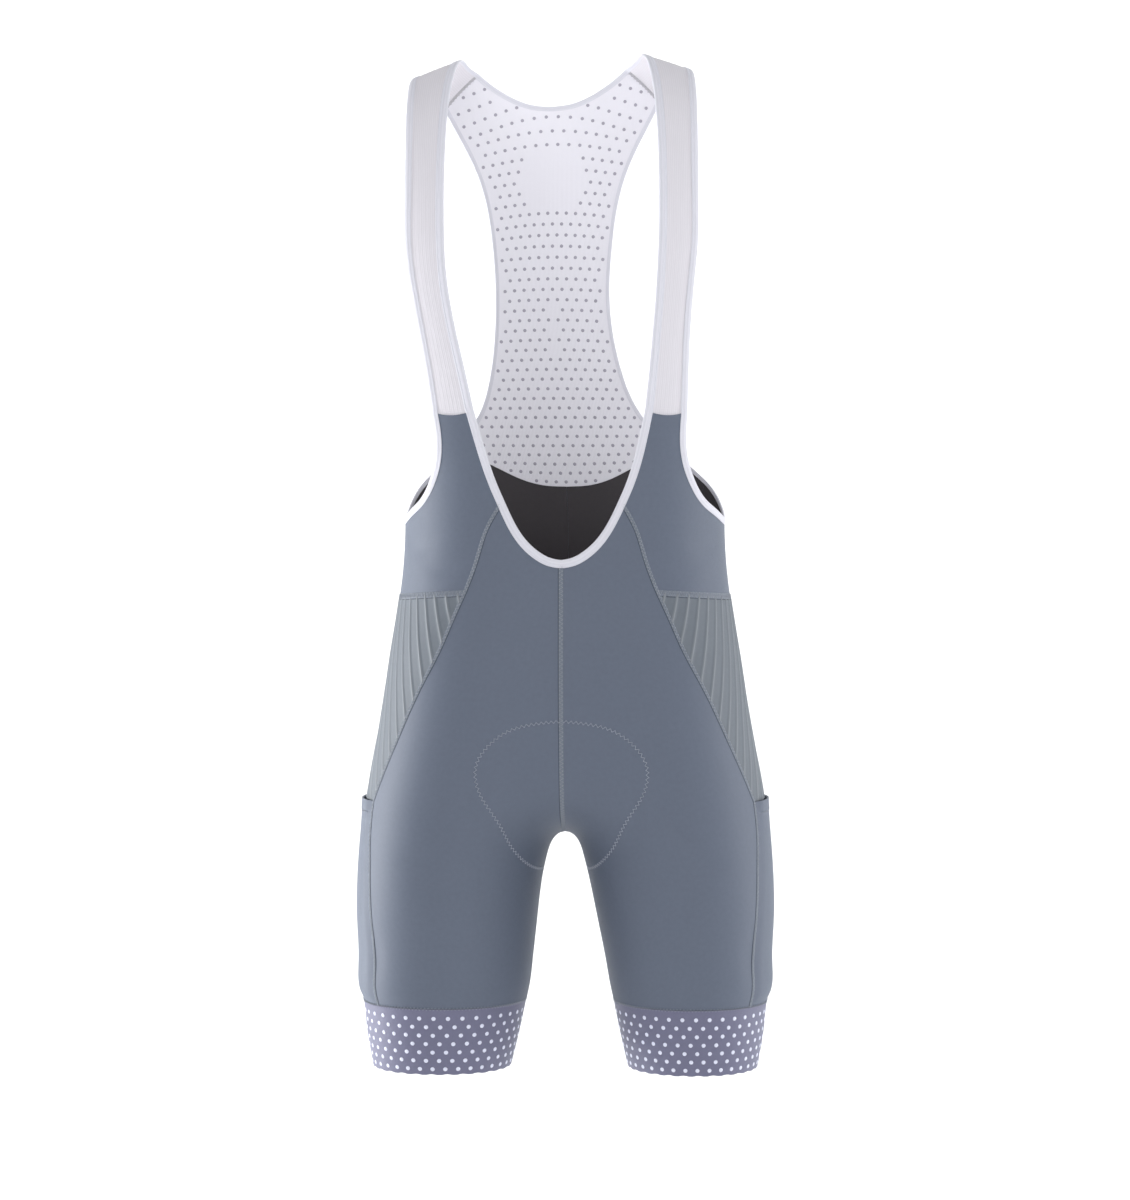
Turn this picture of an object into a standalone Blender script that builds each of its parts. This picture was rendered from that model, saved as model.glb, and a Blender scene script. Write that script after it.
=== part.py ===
"""Cycling bib shorts with ribbed side panels and thigh pockets, filled out as worn.

Blender 4.5. Metres, +Z up, the front faces -Y and the wearer's left is +X. The origin is on top of the
shoulders, midway between the straps, where the wearer holds the garment up.

All cloth follows one form, given by a table of rings. A panel is cut in the pattern plane (side, z): side is
the distance along the cloth from the garment's side line, positive towards the front, and z is the height.
"""

import math
from collections import namedtuple
from functools import lru_cache

import bmesh
import bpy
import numpy as np

# Cloth and seams
CLOTH = 0.0012  # knitted fabric
BAND_CLOTH = 0.0016  # leg band, folded double
BINDING = 0.0070  # width of the folded edge binding
GAP = 0.0003  # between pieces that are sewn together
TURN_GAP = 0.0022  # more room for the strap's back corners, where its bindings turn
RIB_HEIGHT = 0.0008
RIBS = 18  # on each side panel
POCKET_MOUTH_LIFT = 0.0022  # how far the pocket's top edge stands off the leg
POCKET_MOUTH_DEPTH = 0.040  # over this length below its top edge

# Heights
WAIST_SEAM_Z = -0.462
POCKET_TOP_Z = -0.642
CROTCH_Z = -0.6705
BAND_TOP_Z = -0.8185
HEM_Z = -0.8765
ROOT_Z = -0.309  # where the white strap meets the grey bib
ROOT_DIP = 0.003  # the middle of that seam hangs this much lower
WAIST_DIP = 0.003  # and so does the middle of the waist seam

# How the garment departs from its mirror image: each change grows from its first height to its second.
Change = namedtuple("Change", "amount from_z to_z")
LEAN = Change(-0.0115, -0.400, -0.175)  # the shoulders' place towards +X, next to the hips
TWIST = Change(0.035, -0.430, -0.260)  # the shoulders' turn about Z, in radians
TILT = Change(0.033, -0.250, -0.020)  # the shoulders' rise per metre towards +X
SWING = Change(0.0055, -0.690, -0.820)  # the place of the legs' inner sides towards +X

# How the rings that shape the two halves are rounded and how they flow into each other
ROUNDNESS = 2.1
MERGE = 6.0
# The reach of a ring, as a share of its centre's distance, at which the two halves just touch
TOUCH = 0.5 ** (1 / MERGE)

# Each row is one half's ring at a height. outer: the side line's distance from the centre plane; centre: the
# ring's own centre from that plane; reach: its half width inwards; front, back: its half depths; mid: where
# between front and back it is widest.
Ring = namedtuple("Ring", "z outer centre reach front back mid")
RINGS = [
    Ring(0.020, 0.172, 0.062, 0.128, 0.018, 0.033, 0.000),
    Ring(0.000, 0.172, 0.062, 0.128, 0.030, 0.046, 0.000),
    Ring(-0.030, 0.171, 0.062, 0.128, 0.050, 0.062, 0.000),
    Ring(-0.060, 0.168, 0.062, 0.127, 0.069, 0.075, 0.000),
    Ring(-0.100, 0.164, 0.062, 0.126, 0.085, 0.087, 0.000),
    Ring(-0.150, 0.160, 0.062, 0.125, 0.098, 0.096, 0.000),
    Ring(-0.200, 0.156, 0.062, 0.124, 0.104, 0.100, 0.000),
    Ring(-0.250, 0.151, 0.062, 0.124, 0.105, 0.100, 0.000),
    Ring(-0.300, 0.146, 0.061, 0.122, 0.102, 0.097, 0.000),
    Ring(-0.345, 0.141, 0.059, 0.118, 0.099, 0.092, 0.000),
    Ring(-0.390, 0.1385, 0.058, 0.116, 0.096, 0.087, 0.000),
    Ring(-0.430, 0.1395, 0.058, 0.116, 0.095, 0.086, 0.000),
    Ring(WAIST_SEAM_Z, 0.1430, 0.060, 0.117, 0.096, 0.091, 0.001),
    Ring(-0.505, 0.1500, 0.064, 0.120, 0.099, 0.103, 0.002),
    Ring(-0.540, 0.1555, 0.070, 0.126, 0.101, 0.113, 0.004),
    Ring(-0.575, 0.1612, 0.078, 0.131, 0.101, 0.120, 0.006),
    Ring(-0.610, 0.1680, 0.086, 0.130, 0.099, 0.121, 0.008),
    Ring(-0.640, 0.1735, 0.092, 0.116, 0.096, 0.116, 0.009),
    Ring(CROTCH_Z, 0.1778, 0.0973, 0.0973 * TOUCH, 0.093, 0.107, 0.009),
    Ring(-0.690, 0.1795, 0.0992, 0.0805, 0.090, 0.100, 0.008),
    Ring(-0.715, 0.1808, 0.1022, 0.0785, 0.087, 0.092, 0.007),
    Ring(-0.750, 0.1808, 0.1050, 0.0760, 0.081, 0.084, 0.006),
    Ring(-0.785, 0.1795, 0.1070, 0.0728, 0.074, 0.077, 0.005),
    Ring(-0.806, 0.1792, 0.1085, 0.0712, 0.0705, 0.0735, 0.005),
    Ring(BAND_TOP_Z, 0.1760, 0.1090, 0.0690, 0.0680, 0.0705, 0.004),
    Ring(-0.840, 0.1735, 0.1095, 0.0650, 0.0650, 0.0675, 0.004),
    Ring(-0.860, 0.1705, 0.1100, 0.0610, 0.0615, 0.0640, 0.004),
    Ring(HEM_Z, 0.1675, 0.1100, 0.0570, 0.0580, 0.0605, 0.004),
]

# Where the garment's edges and seams run. x is the distance from the centre plane, seen from the front or back.
Spot = namedtuple("Spot", "x z")
NECK = [  # from the bottom of the V up to the strap's root
    Spot(0.0000, -0.4343),
    Spot(0.0080, -0.4328),
    Spot(0.0180, -0.4277),
    Spot(0.0285, -0.4185),
    Spot(0.0372, -0.4065),
    Spot(0.0441, -0.3931),
    Spot(0.0480, -0.3845),
    Spot(0.0520, -0.3755),
    Spot(0.0592, -0.3560),
    Spot(0.0656, -0.3333),
    Spot(0.0716, ROOT_Z),
]
NECK_AT_DIAGONAL = 6  # the row of NECK from which the diagonal seam leaves
ARMHOLE_FRONT = [  # from the strap's root down towards the side
    Spot(0.1080, ROOT_Z),
    Spot(0.1058, -0.3335),
    Spot(0.1073, -0.3500),
    Spot(0.1118, -0.3650),
    Spot(0.1200, -0.3800),
    Spot(0.1290, -0.3880),
]
ARMHOLE_LOW_Z = -0.3935  # on the side line
ARMHOLE_BACK = [  # from the side up to the panel's back seam
    Spot(0.1345, -0.3750),
    Spot(0.1265, -0.3610),
]
SEAT_EDGE = [  # on from there to the mesh panel's seam
    Spot(0.1265, -0.3610),
    Spot(0.1140, -0.3470),
    Spot(0.0980, -0.3290),
]
MESH_EDGE = [  # on from there up to the strap's back seam
    Spot(0.0980, -0.3290),
    Spot(0.0850, -0.3125),
    Spot(0.0740, -0.2970),
    Spot(0.0600, -0.2575),
    Spot(0.0540, -0.2200),
    Spot(0.0524, -0.1830),
    Spot(0.0547, -0.1450),
    Spot(0.0592, -0.1110),
    Spot(0.0695, -0.0760),
    Spot(0.0800, -0.0545),
    Spot(0.0975, -0.0230),
]
MESH_SEAM = [  # from the centre back out to the edge
    Spot(0.0000, -0.3643),
    Spot(0.0200, -0.3632),
    Spot(0.0345, -0.3598),
    Spot(0.0505, -0.3530),
    Spot(0.0650, -0.3455),
    Spot(0.0980, -0.3290),
]
SCOOP = [  # the mesh panel's top edge, from the centre back out to the strap's back seam
    Spot(0.0000, -0.0228),
    Spot(0.0140, -0.0216),
    Spot(0.0280, -0.0178),
    Spot(0.0410, -0.0117),
    Spot(0.0540, -0.0038),
    Spot(0.0660, 0.0055),
]
DIAGONAL_HIGH = [  # the diagonal seam, from the neck's binding down to the waist seam
    Spot(0.0635, -0.4095),
    Spot(0.0712, -0.4343),
    Spot(0.0815, WAIST_SEAM_Z),
]
DIAGONAL_LOW = [  # and on down to the pocket
    Spot(0.0815, WAIST_SEAM_Z),
    Spot(0.0918, -0.4850),
    Spot(0.1028, -0.5102),
    Spot(0.1170, -0.5374),
    Spot(0.1304, -0.5648),
    Spot(0.1425, -0.5920),
    Spot(0.1535, -0.6170),
    Spot(0.1635, POCKET_TOP_Z),
]
THIGH_FRONT = [  # the pocket's front edge, down to the leg band
    Spot(0.1635, POCKET_TOP_Z),
    Spot(0.1665, -0.6750),
    Spot(0.1665, -0.7100),
    Spot(0.1640, -0.7590),
    Spot(0.1598, BAND_TOP_Z),
]

# Seams behind the side line. side: distance along the cloth from the side line, negative towards the back.
Seam = namedtuple("Seam", "side z")
BACK_HIGH = [  # from the armhole down to the waist seam
    Seam(-0.0800, -0.4100),
    Seam(-0.0840, WAIST_SEAM_Z),
]
BACK_LOW = [  # and on down to the pocket
    Seam(-0.0840, WAIST_SEAM_Z),
    Seam(-0.0820, -0.5400),
    Seam(-0.0740, -0.6000),
    Seam(-0.0660, POCKET_TOP_Z),
]
THIGH_BACK = [
    Seam(-0.0660, POCKET_TOP_Z),
    Seam(-0.0640, -0.7300),
    Seam(-0.0620, BAND_TOP_Z),
]

# The strap, from the root up the chest: x of its neck and arm edges at each height
StrapRow = namedtuple("StrapRow", "z neck arm")
STRAP_FRONT = [
    StrapRow(-0.2575, 0.0799, 0.1128),
    StrapRow(-0.2070, 0.0870, 0.1192),
    StrapRow(-0.1650, 0.0899, 0.1240),
    StrapRow(-0.1210, 0.0906, 0.1247),
    StrapRow(-0.0850, 0.0902, 0.1250),
    StrapRow(-0.0500, 0.0888, 0.1251),
]
# and over the shoulder to the mesh panel
StrapTop = namedtuple("StrapTop", "neck_x neck_y neck_z arm_x arm_y arm_z")
STRAP_TOP = [
    StrapTop(0.0850, -0.0350, -0.0125, 0.1248, -0.0320, -0.0250),
    StrapTop(0.0808, -0.0120, 0.0048, 0.1230, -0.0100, -0.0098),
    StrapTop(0.0765, 0.0120, 0.0098, 0.1178, 0.0140, -0.0066),
    StrapTop(0.0725, 0.0310, 0.0080, 0.1070, 0.0380, -0.0140),
]

# How many stretches each line is divided into
N_NECK_LOW, N_NECK_HIGH = 9, 6
N_BIB_WIDE, N_WAIST_SEAM = 4, 8
N_DIAGONAL, N_INSEAM = 11, 8
N_SCOOP, N_STRAP_SEAM, N_MESH_EDGE, N_SEAT_EDGE = 7, 2, 15, 3
N_STRAP = 24
N_THIGH_WIDE, N_BAND_ROWS = 8, 3
N_ARMHOLE = N_NECK_HIGH + N_BIB_WIDE + N_WAIST_SEAM
N_RISE = N_BIB_WIDE + N_DIAGONAL
N_RIB_COLUMNS = 2 * RIBS  # a hollow and a ridge for each rib
N_RIBS_CUT = 2 * N_DIAGONAL  # so many of these columns end on the diagonal seam

COLLECTION = "bib_shorts"
FINISHES = {  # base colour and roughness
    "grey_knit": ((0.155, 0.175, 0.205, 1), 0.62),
    "ribbed_knit": ((0.190, 0.210, 0.235, 1), 0.66),
    "white_elastic": ((0.780, 0.780, 0.820, 1), 0.58),
    "dotted_mesh": ((0.800, 0.795, 0.840, 1), 0.68),
    "dotted_band": ((0.135, 0.142, 0.185, 1), 0.60),
}


# ---- the form that the cloth follows ----


class Curve:
    """A natural cubic spline through the rows of a table, whose values are numbers or points."""

    def __init__(self, knots, values):
        order = np.argsort(knots)
        self.knots = np.asarray(knots, float)[order]
        self.values = np.asarray(values, float)[order]
        count, step = len(knots), np.diff(self.knots)
        slope = np.diff(self.values, axis=0) / self.column(step)
        matrix, right = np.eye(count), np.zeros_like(self.values)
        for i in range(1, count - 1):
            matrix[i, i - 1 : i + 2] = step[i - 1], 2 * (step[i - 1] + step[i]), step[i]
            right[i] = 6 * (slope[i] - slope[i - 1])
        self.bend = np.linalg.solve(matrix, right)

    def column(self, numbers):
        return np.reshape(numbers, np.shape(numbers) + (1,) * (self.values.ndim - 1))

    def __call__(self, at):
        at = np.clip(at, self.knots[0], self.knots[-1])
        i = np.clip(np.searchsorted(self.knots, at) - 1, 0, len(self.knots) - 2)
        step = self.knots[i + 1] - self.knots[i]
        t, step = self.column((at - self.knots[i]) / step), self.column(step)
        a, b = (1 - t) ** 3 - (1 - t), t**3 - t
        curved = (a * self.bend[i] + b * self.bend[i + 1]) * step**2 / 6
        return (1 - t) * self.values[i] + t * self.values[i + 1] + curved


RING_SIZES = Curve([r.z for r in RINGS], [r[1:] for r in RINGS])


def ring_at(z):
    """The ring's sizes at a height."""
    return Ring(z, *RING_SIZES(float(z)))


def ring_distance(outwards, y, ring):
    """1 on one half's ring, less inside it. outwards is measured from the ring's centre."""
    width = np.where(outwards > 0, ring.outer - ring.centre, ring.reach)
    depth = np.where(y < ring.mid, ring.front, ring.back)
    powers = (np.abs(outwards) / width) ** ROUNDNESS + (np.abs(y - ring.mid) / depth) ** ROUNDNESS
    return np.maximum(powers, 1e-9) ** (1 / ROUNDNESS)


def form(x, y, ring):
    """1 on the form, where the two halves' rings flow together, and less inside it."""
    near = ring_distance(x - ring.centre, y, ring)
    far = ring_distance(-x - ring.centre, y, ring)
    return (near**-MERGE + far**-MERGE) ** (-1 / MERGE)


@lru_cache(maxsize=None)
def section(z):
    """The left half's outline at a height, from centre back round the side to centre front, or from the inseam
    round to the inseam below the crotch: distances from the side line, and the points' x and y."""
    ring = ring_at(z)
    pull = 2 ** (ROUNDNESS / MERGE) - (ring.centre / ring.reach) ** ROUNDNESS
    rise = max(float(pull), 0.0) ** (1 / ROUNDNESS)  # half depth on the centre plane, as a share
    first = -math.pi + math.atan2(ring.back * rise, ring.centre)
    last = math.pi - math.atan2(ring.front * rise, ring.centre)
    angle = np.concatenate([np.linspace(first, 0, 121), np.linspace(0, last, 121)[1:]])
    across, along = np.cos(angle), -np.sin(angle)
    low = 1 / ring_distance(across, ring.mid + along, ring)
    to_plane = np.where(across < 0, ring.centre / np.maximum(-across, 1e-9), np.inf)
    high = np.minimum(low * 1.3, to_plane)
    for _ in range(26):
        middle = (low + high) / 2
        inside = form(ring.centre + middle * across, ring.mid + middle * along, ring) < 1
        low, high = np.where(inside, middle, low), np.where(inside, high, middle)
    x, y = ring.centre + high * across, ring.mid + high * along
    length = np.concatenate([[0], np.cumsum(np.hypot(np.diff(x), np.diff(y)))])
    return length - length[120], x, y


def girth(z, face):
    """Pattern distance from the side line to the centre plane or inseam, in front (face 1) or behind (-1)."""
    side = section(z)[0]
    return float(side[-1] if face > 0 else side[0])


def seen(spots, face):
    """The pattern points of spots seen from the front (face 1) or the back (face -1)."""
    points = []
    for spot in spots:
        side, x, _ = section(spot.z)
        half = side >= 0 if face > 0 else side <= 0
        order = np.argsort(x[half])
        points.append((np.interp(spot.x, x[half][order], side[half][order]), spot.z))
    return points


def normal_at(point):
    """Outward direction of the form at a point on it."""
    x, y, z = point
    step = 1e-5
    above, below, here = ring_at(z + step), ring_at(z - step), ring_at(z)
    slope = np.array([
        form(x + step, y, here) - form(x - step, y, here),
        form(x, y + step, here) - form(x, y - step, here),
        form(x, y, above) - form(x, y, below),
    ])
    return slope / np.linalg.norm(slope)


def on_form(pattern_point):
    """(point, outward direction) of a point of the pattern plane."""
    distance, z = pattern_point
    side, x, y = section(round(float(z), 7))
    point = np.array([np.interp(distance, side, x), np.interp(distance, side, y), z])
    return point, normal_at(point)


def laid(grid):
    """(points, outward directions) of a line or grid of the pattern plane, laid on the form."""
    grid = np.asarray(grid, float)
    pairs = [on_form(point) for point in grid.reshape(-1, 2)]
    shape = grid.shape[:-1] + (3,)
    return np.array([p for p, _ in pairs]).reshape(shape), np.array([n for _, n in pairs]).reshape(shape)


# ---- lines in the pattern plane, and rows of points in space ----


def through(points, count):
    """A smooth line through points, as count + 1 points evenly spaced along it."""
    points = np.asarray(points, float)
    chords = np.linalg.norm(np.diff(points, axis=0), axis=1)
    line = Curve(np.concatenate([[0], np.cumsum(chords)]), points)
    fine = line(np.linspace(0, line.knots[-1], 400))
    length = np.concatenate([[0], np.cumsum(np.linalg.norm(np.diff(fine, axis=0), axis=1))])
    wanted = np.linspace(0, length[-1], count + 1)
    return np.stack([np.interp(wanted, length, values) for values in fine.T], axis=1)


def inset(line, distance):
    """The line moved by a distance to its left, seen with side to the right and z up."""
    along = np.gradient(line, axis=0)
    left = np.stack([-along[:, 1], along[:, 0]], axis=1)
    return line + distance * left / np.linalg.norm(left, axis=1)[:, None]


def level(z, from_side, to_side, count):
    return np.stack([np.linspace(from_side, to_side, count + 1), np.full(count + 1, z)], axis=1)


def join(*lines):
    """Lines end to end as one; each but the first leaves out its first point."""
    return np.concatenate([lines[0]] + [line[1:] for line in lines[1:]])


def halved(line):
    """The line with a point added midway between each two."""
    both = np.empty((2 * len(line) - 1, line.shape[1]))
    both[::2], both[1::2] = line, (line[1:] + line[:-1]) / 2
    return both


def patch(bottom, top, start, end):
    """A Coons patch: rows run from bottom to top, columns from start to end."""
    v = np.linspace(0, 1, len(start))[:, None, None]
    u = np.linspace(0, 1, len(bottom))[None, :, None]
    ruled = (1 - v) * bottom[None] + v * top[None] + (1 - u) * start[:, None] + u * end[:, None]
    corners = (1 - v) * ((1 - u) * bottom[0] + u * bottom[-1]) + v * ((1 - u) * top[0] + u * top[-1])
    return ruled - corners


def middle_edge(face, top_z):
    """A panel's edge from the top of the centre seam down to the crotch and on down the inseam."""

    def edge(z):
        return girth(z, face) - face * GAP / 2, z

    def from_crotch(far_z, count):
        """Evenly spaced in space, which takes heights that are close together near the crotch."""
        heights = np.round(CROTCH_Z + (far_z - CROTCH_Z) * np.linspace(0, 1, 120) ** 2, 7)
        points = laid([edge(z) for z in heights])[0]
        length = np.concatenate([[0], np.cumsum(np.linalg.norm(np.diff(points, axis=0), axis=1))])
        wanted = np.interp(np.linspace(0, length[-1], count + 1), length, heights)
        return np.array([edge(z) for z in np.round(wanted, 7)])

    return join(from_crotch(top_z, N_RISE)[::-1], from_crotch(BAND_TOP_Z + GAP / 2, N_INSEAM))


# The garment's edges, seen with the cloth on their left, and the lines where bound panels end
BOUND = BINDING + GAP
NECK_EDGE = join(
    through(seen(NECK[: NECK_AT_DIAGONAL + 1], 1), N_NECK_LOW),
    through(seen(NECK[NECK_AT_DIAGONAL:], 1), N_NECK_HIGH),
)
ARM_EDGE = join(
    through(seen(ARMHOLE_FRONT, 1) + [(0, ARMHOLE_LOW_Z)] + seen(ARMHOLE_BACK, -1), N_ARMHOLE),
    through(seen(SEAT_EDGE, -1), N_SEAT_EDGE),
    through(seen(MESH_EDGE, -1), N_MESH_EDGE),
)
SCOOP_EDGE = through(seen(SCOOP, -1), N_SCOOP)[::-1]
NECK_BOUND, ARM_BOUND, SCOOP_BOUND = (inset(e, BOUND) for e in (NECK_EDGE, ARM_EDGE, SCOOP_EDGE))
SEAT_CORNER = N_ARMHOLE + N_SEAT_EDGE  # where the mesh panel's seam reaches the armhole's edge

# The seams
DIAGONAL_LINE = join(
    through([NECK_BOUND[N_NECK_LOW]] + seen(DIAGONAL_HIGH, 1), N_BIB_WIDE),
    through(seen(DIAGONAL_LOW, 1), N_DIAGONAL),
)
THIGH_FRONT_LINE = through(seen(THIGH_FRONT, 1), N_INSEAM)
BACK_LINE = join(
    through([ARM_BOUND[N_ARMHOLE]] + BACK_HIGH, N_BIB_WIDE),
    through(BACK_LOW, N_DIAGONAL),
)
THIGH_BACK_LINE = through(THIGH_BACK, N_INSEAM)
MESH_SEAM_LINE = through(seen(MESH_SEAM[:-1], -1) + [ARM_BOUND[SEAT_CORNER]], N_SCOOP + N_STRAP_SEAM)


# ---- walls of cloth ----


def grown(change, z):
    """How much of a change there is at a height."""
    t = np.clip((z - change.from_z) / (change.to_z - change.from_z), 0, 1)
    return change.amount * t * t * (3 - 2 * t)


def posed(points):
    """Points of the mirror-symmetric form, moved to where the garment's pose has them."""
    x, y, z = np.moveaxis(points, -1, 0)
    twist, inner = grown(TWIST, z), 1 - np.minimum(np.abs(x) / RINGS[-1].outer, 1)
    moved_x = x + grown(LEAN, z) - twist * y + grown(SWING, z) * inner
    return np.stack([moved_x, y + twist * x, z + grown(TILT, z) * x], axis=-1)


def on_hand(points, hand):
    """Points of the left half, or their mirror images on the right half where hand is -1."""
    return points * np.array([hand, 1, 1])


def wall(name, finish, inner, outer, closed=False):
    """A wall of cloth between two grids of points. Where closed, the last column meets the first."""
    rows, columns = inner.shape[:2]
    bm = bmesh.new()
    layers = [[[bm.verts.new(p) for p in row] for row in posed(grid)] for grid in (inner, outer)]
    inside, outside = layers
    spans = [(j, (j + 1) % columns) for j in range(columns if closed else columns - 1)]
    for i in range(rows - 1):
        for j, k in spans:
            for layer in layers:
                bm.faces.new([layer[i][j], layer[i][k], layer[i + 1][k], layer[i + 1][j]])
    for i in (0, rows - 1):
        for j, k in spans:
            bm.faces.new([inside[i][j], inside[i][k], outside[i][k], outside[i][j]])
    for j in () if closed else (0, columns - 1):
        for i in range(rows - 1):
            bm.faces.new([inside[i][j], inside[i + 1][j], outside[i + 1][j], outside[i][j]])
    return make_object(name, finish, bm)


def make_object(name, finish, bm):
    """The object of a closed shape, in a material of its own."""
    bmesh.ops.remove_doubles(bm, verts=bm.verts, dist=1e-6)
    bmesh.ops.recalc_face_normals(bm, faces=bm.faces)
    if bm.calc_volume(signed=True) < 0:
        bmesh.ops.reverse_faces(bm, faces=bm.faces)
    mesh = bpy.data.meshes.new(name)
    bm.to_mesh(mesh)
    bm.free()
    mesh.shade_smooth()
    mesh.set_sharp_from_angle(angle=math.radians(50))
    mesh.materials.append(make_material(name, *FINISHES[finish]))
    piece = bpy.data.objects.new(name, mesh)
    piece.parent = bpy.data.objects[COLLECTION]
    bpy.data.collections[COLLECTION].objects.link(piece)
    return piece


def make_material(name, colour, roughness):
    material = bpy.data.materials.new(name)
    material.use_nodes = True
    surface = material.node_tree.nodes["Principled BSDF"]
    surface.inputs["Base Color"].default_value = colour
    surface.inputs["Roughness"].default_value = roughness
    surface.inputs["Metallic"].default_value = 0.0
    return material


def lifted(points, outward, lift):
    """Points of the form, lifted off it, and kept on their own side of the centre plane."""
    raised = points + outward * np.broadcast_to(lift, points.shape[:-1])[..., None]
    raised[..., 0] = np.maximum(raised[..., 0], GAP / 2)
    return raised


def panel(name, finish, grid, hand, base=0.0, thick=CLOTH, raised=0.0, closed=False):
    """A panel cut in the pattern plane. base lifts it off the form, and raised adds to its outer points."""
    points, outward = laid(grid)
    inner = lifted(points, outward, base)
    outer = lifted(points, outward, base + thick + raised)
    return wall(name, finish, on_hand(inner, hand), on_hand(outer, hand), closed)


def front_grid():
    middle = middle_edge(1, NECK_BOUND[0][1])
    seam = join(DIAGONAL_LINE, THIGH_FRONT_LINE) + (GAP / 2, 0)
    top = NECK_BOUND[: N_NECK_LOW + 1].copy()
    top[0], top[-1], seam[-1][1] = middle[0], seam[0], middle[-1][1]
    bottom = level(middle[-1][1], middle[-1][0], seam[-1][0], N_NECK_LOW)
    return patch(bottom, top, middle[::-1], seam[::-1])


def seat_grid():
    middle = middle_edge(-1, MESH_SEAM_LINE[0][1] - GAP / 2)
    seam = join(BACK_LINE, THIGH_BACK_LINE) - (GAP / 2, 0)
    top = join(MESH_SEAM_LINE - (0, GAP / 2), ARM_BOUND[N_ARMHOLE : SEAT_CORNER + 1][::-1])
    top[0], top[-1], seam[-1][1] = middle[0], seam[0], middle[-1][1]
    bottom = level(middle[-1][1], middle[-1][0], seam[-1][0], len(top) - 1)
    return patch(bottom, top, middle[::-1], seam[::-1])


def bib_side_grid():
    """From the strap round under the arm: rows run from the neck and waist seams to the armhole."""
    low = level(
        WAIST_SEAM_Z + GAP / 2,
        DIAGONAL_LINE[N_BIB_WIDE][0] - GAP / 2,
        BACK_LINE[N_BIB_WIDE][0] + GAP / 2,
        N_WAIST_SEAM,
    )
    low[:, 1] -= WAIST_DIP * bulge(np.linspace(0, 1, N_WAIST_SEAM + 1))
    near = join(NECK_BOUND[N_NECK_LOW:][::-1], DIAGONAL_LINE[: N_BIB_WIDE + 1] - (GAP / 2, 0), low)
    near[N_NECK_HIGH] = DIAGONAL_LINE[0] - (GAP / 2, 0)
    far = ARM_BOUND[: N_ARMHOLE + 1].copy()
    near[0, 1] = far[0, 1] = ROOT_Z - GAP / 2
    back = BACK_LINE[: N_BIB_WIDE + 1][::-1] + (GAP / 2, 0)
    back[0], far[-1] = near[-1], back[-1]
    root = level(ROOT_Z - GAP / 2, near[0][0], far[0][0], N_BIB_WIDE)
    root[:, 1] -= ROOT_DIP * bulge(np.linspace(0, 1, N_BIB_WIDE + 1))
    return patch(near, far, root, back)


def bulge(t):
    """0 at both ends of 0 to 1, and 1 in the middle."""
    return 4 * t * (1 - t)


def ribbed_grid():
    """Columns follow the ribs, down from the waist seam to the pocket or to the diagonal seam."""
    foot = level(
        POCKET_TOP_Z + GAP / 2,
        BACK_LINE[-1][0] + GAP / 2,
        DIAGONAL_LINE[-1][0] - GAP / 2,
        N_RIB_COLUMNS - N_RIBS_CUT,
    )
    diagonal = halved(DIAGONAL_LINE[N_BIB_WIDE:])[::-1] - (GAP / 2, 0)
    diagonal[0], diagonal[-1, 1] = foot[-1], WAIST_SEAM_Z - GAP / 2
    back = BACK_LINE[N_BIB_WIDE:][::-1] + (GAP / 2, 0)
    back[0], back[-1, 1] = foot[0], WAIST_SEAM_Z - GAP / 2
    top = level(WAIST_SEAM_Z - GAP / 2, back[-1][0], diagonal[-1][0], N_RIB_COLUMNS)
    top[:, 1] -= WAIST_DIP * bulge(np.linspace(0, 1, N_RIB_COLUMNS + 1))
    corner = np.repeat(top[-1:], len(back), axis=0)
    return patch(join(foot, diagonal), top, back, corner)


def thigh_grid():
    """The side of the thigh, from the pocket's top edge down to the leg band."""
    top_z, bottom_z = POCKET_TOP_Z - GAP / 2, BAND_TOP_Z + GAP / 2
    front, back = THIGH_FRONT_LINE[::-1] - (GAP / 2, 0), THIGH_BACK_LINE[::-1] + (GAP / 2, 0)
    for edge in (front, back):
        edge[0, 1], edge[-1, 1] = bottom_z, top_z
    bottom = level(bottom_z, back[0][0], front[0][0], N_THIGH_WIDE)
    top = level(top_z, back[-1][0], front[-1][0], N_THIGH_WIDE)
    return patch(bottom, top, back, front)


def band_grid():
    """Round the leg from inseam to inseam, whose last column meets the first."""
    heights = np.linspace(HEM_Z, BAND_TOP_Z - GAP / 2, N_BAND_ROWS + 1)
    columns = N_NECK_LOW + N_THIGH_WIDE + N_SCOOP + N_STRAP_SEAM + N_SEAT_EDGE
    return np.array([level(z, girth(z, -1), girth(z, 1), columns)[:-1] for z in heights])


def mesh_grid():
    """The left half of the mesh panel, from the centre back to the armhole and the strap's back seam."""
    low, scoop = MESH_SEAM_LINE + (0, GAP / 2), SCOOP_BOUND[::-1]
    armhole = ARM_BOUND[SEAT_CORNER:].copy()
    armhole[0] = low[-1]
    heights = np.round(np.linspace(low[0][1], scoop[0][1], N_MESH_EDGE + 1), 7)
    middle = np.array([(girth(z, -1), z) for z in heights])
    low[0], scoop[0] = middle[0], middle[-1]
    strap_seam = np.linspace(scoop[-1], armhole[-1], N_STRAP_SEAM + 1)
    return patch(low, join(scoop, strap_seam), middle, armhole)


def mesh_panel(name):
    points, outward = laid(mesh_grid())
    points[:, 0, 0] = outward[:, 0, 0] = 0
    halves = [points, points + outward * CLOTH]
    inner, outer = (np.concatenate([on_hand(h, -1)[:, :0:-1], h], axis=1) for h in halves)
    return wall(name, "dotted_mesh", inner, outer)


# ---- the straps ----


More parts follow.
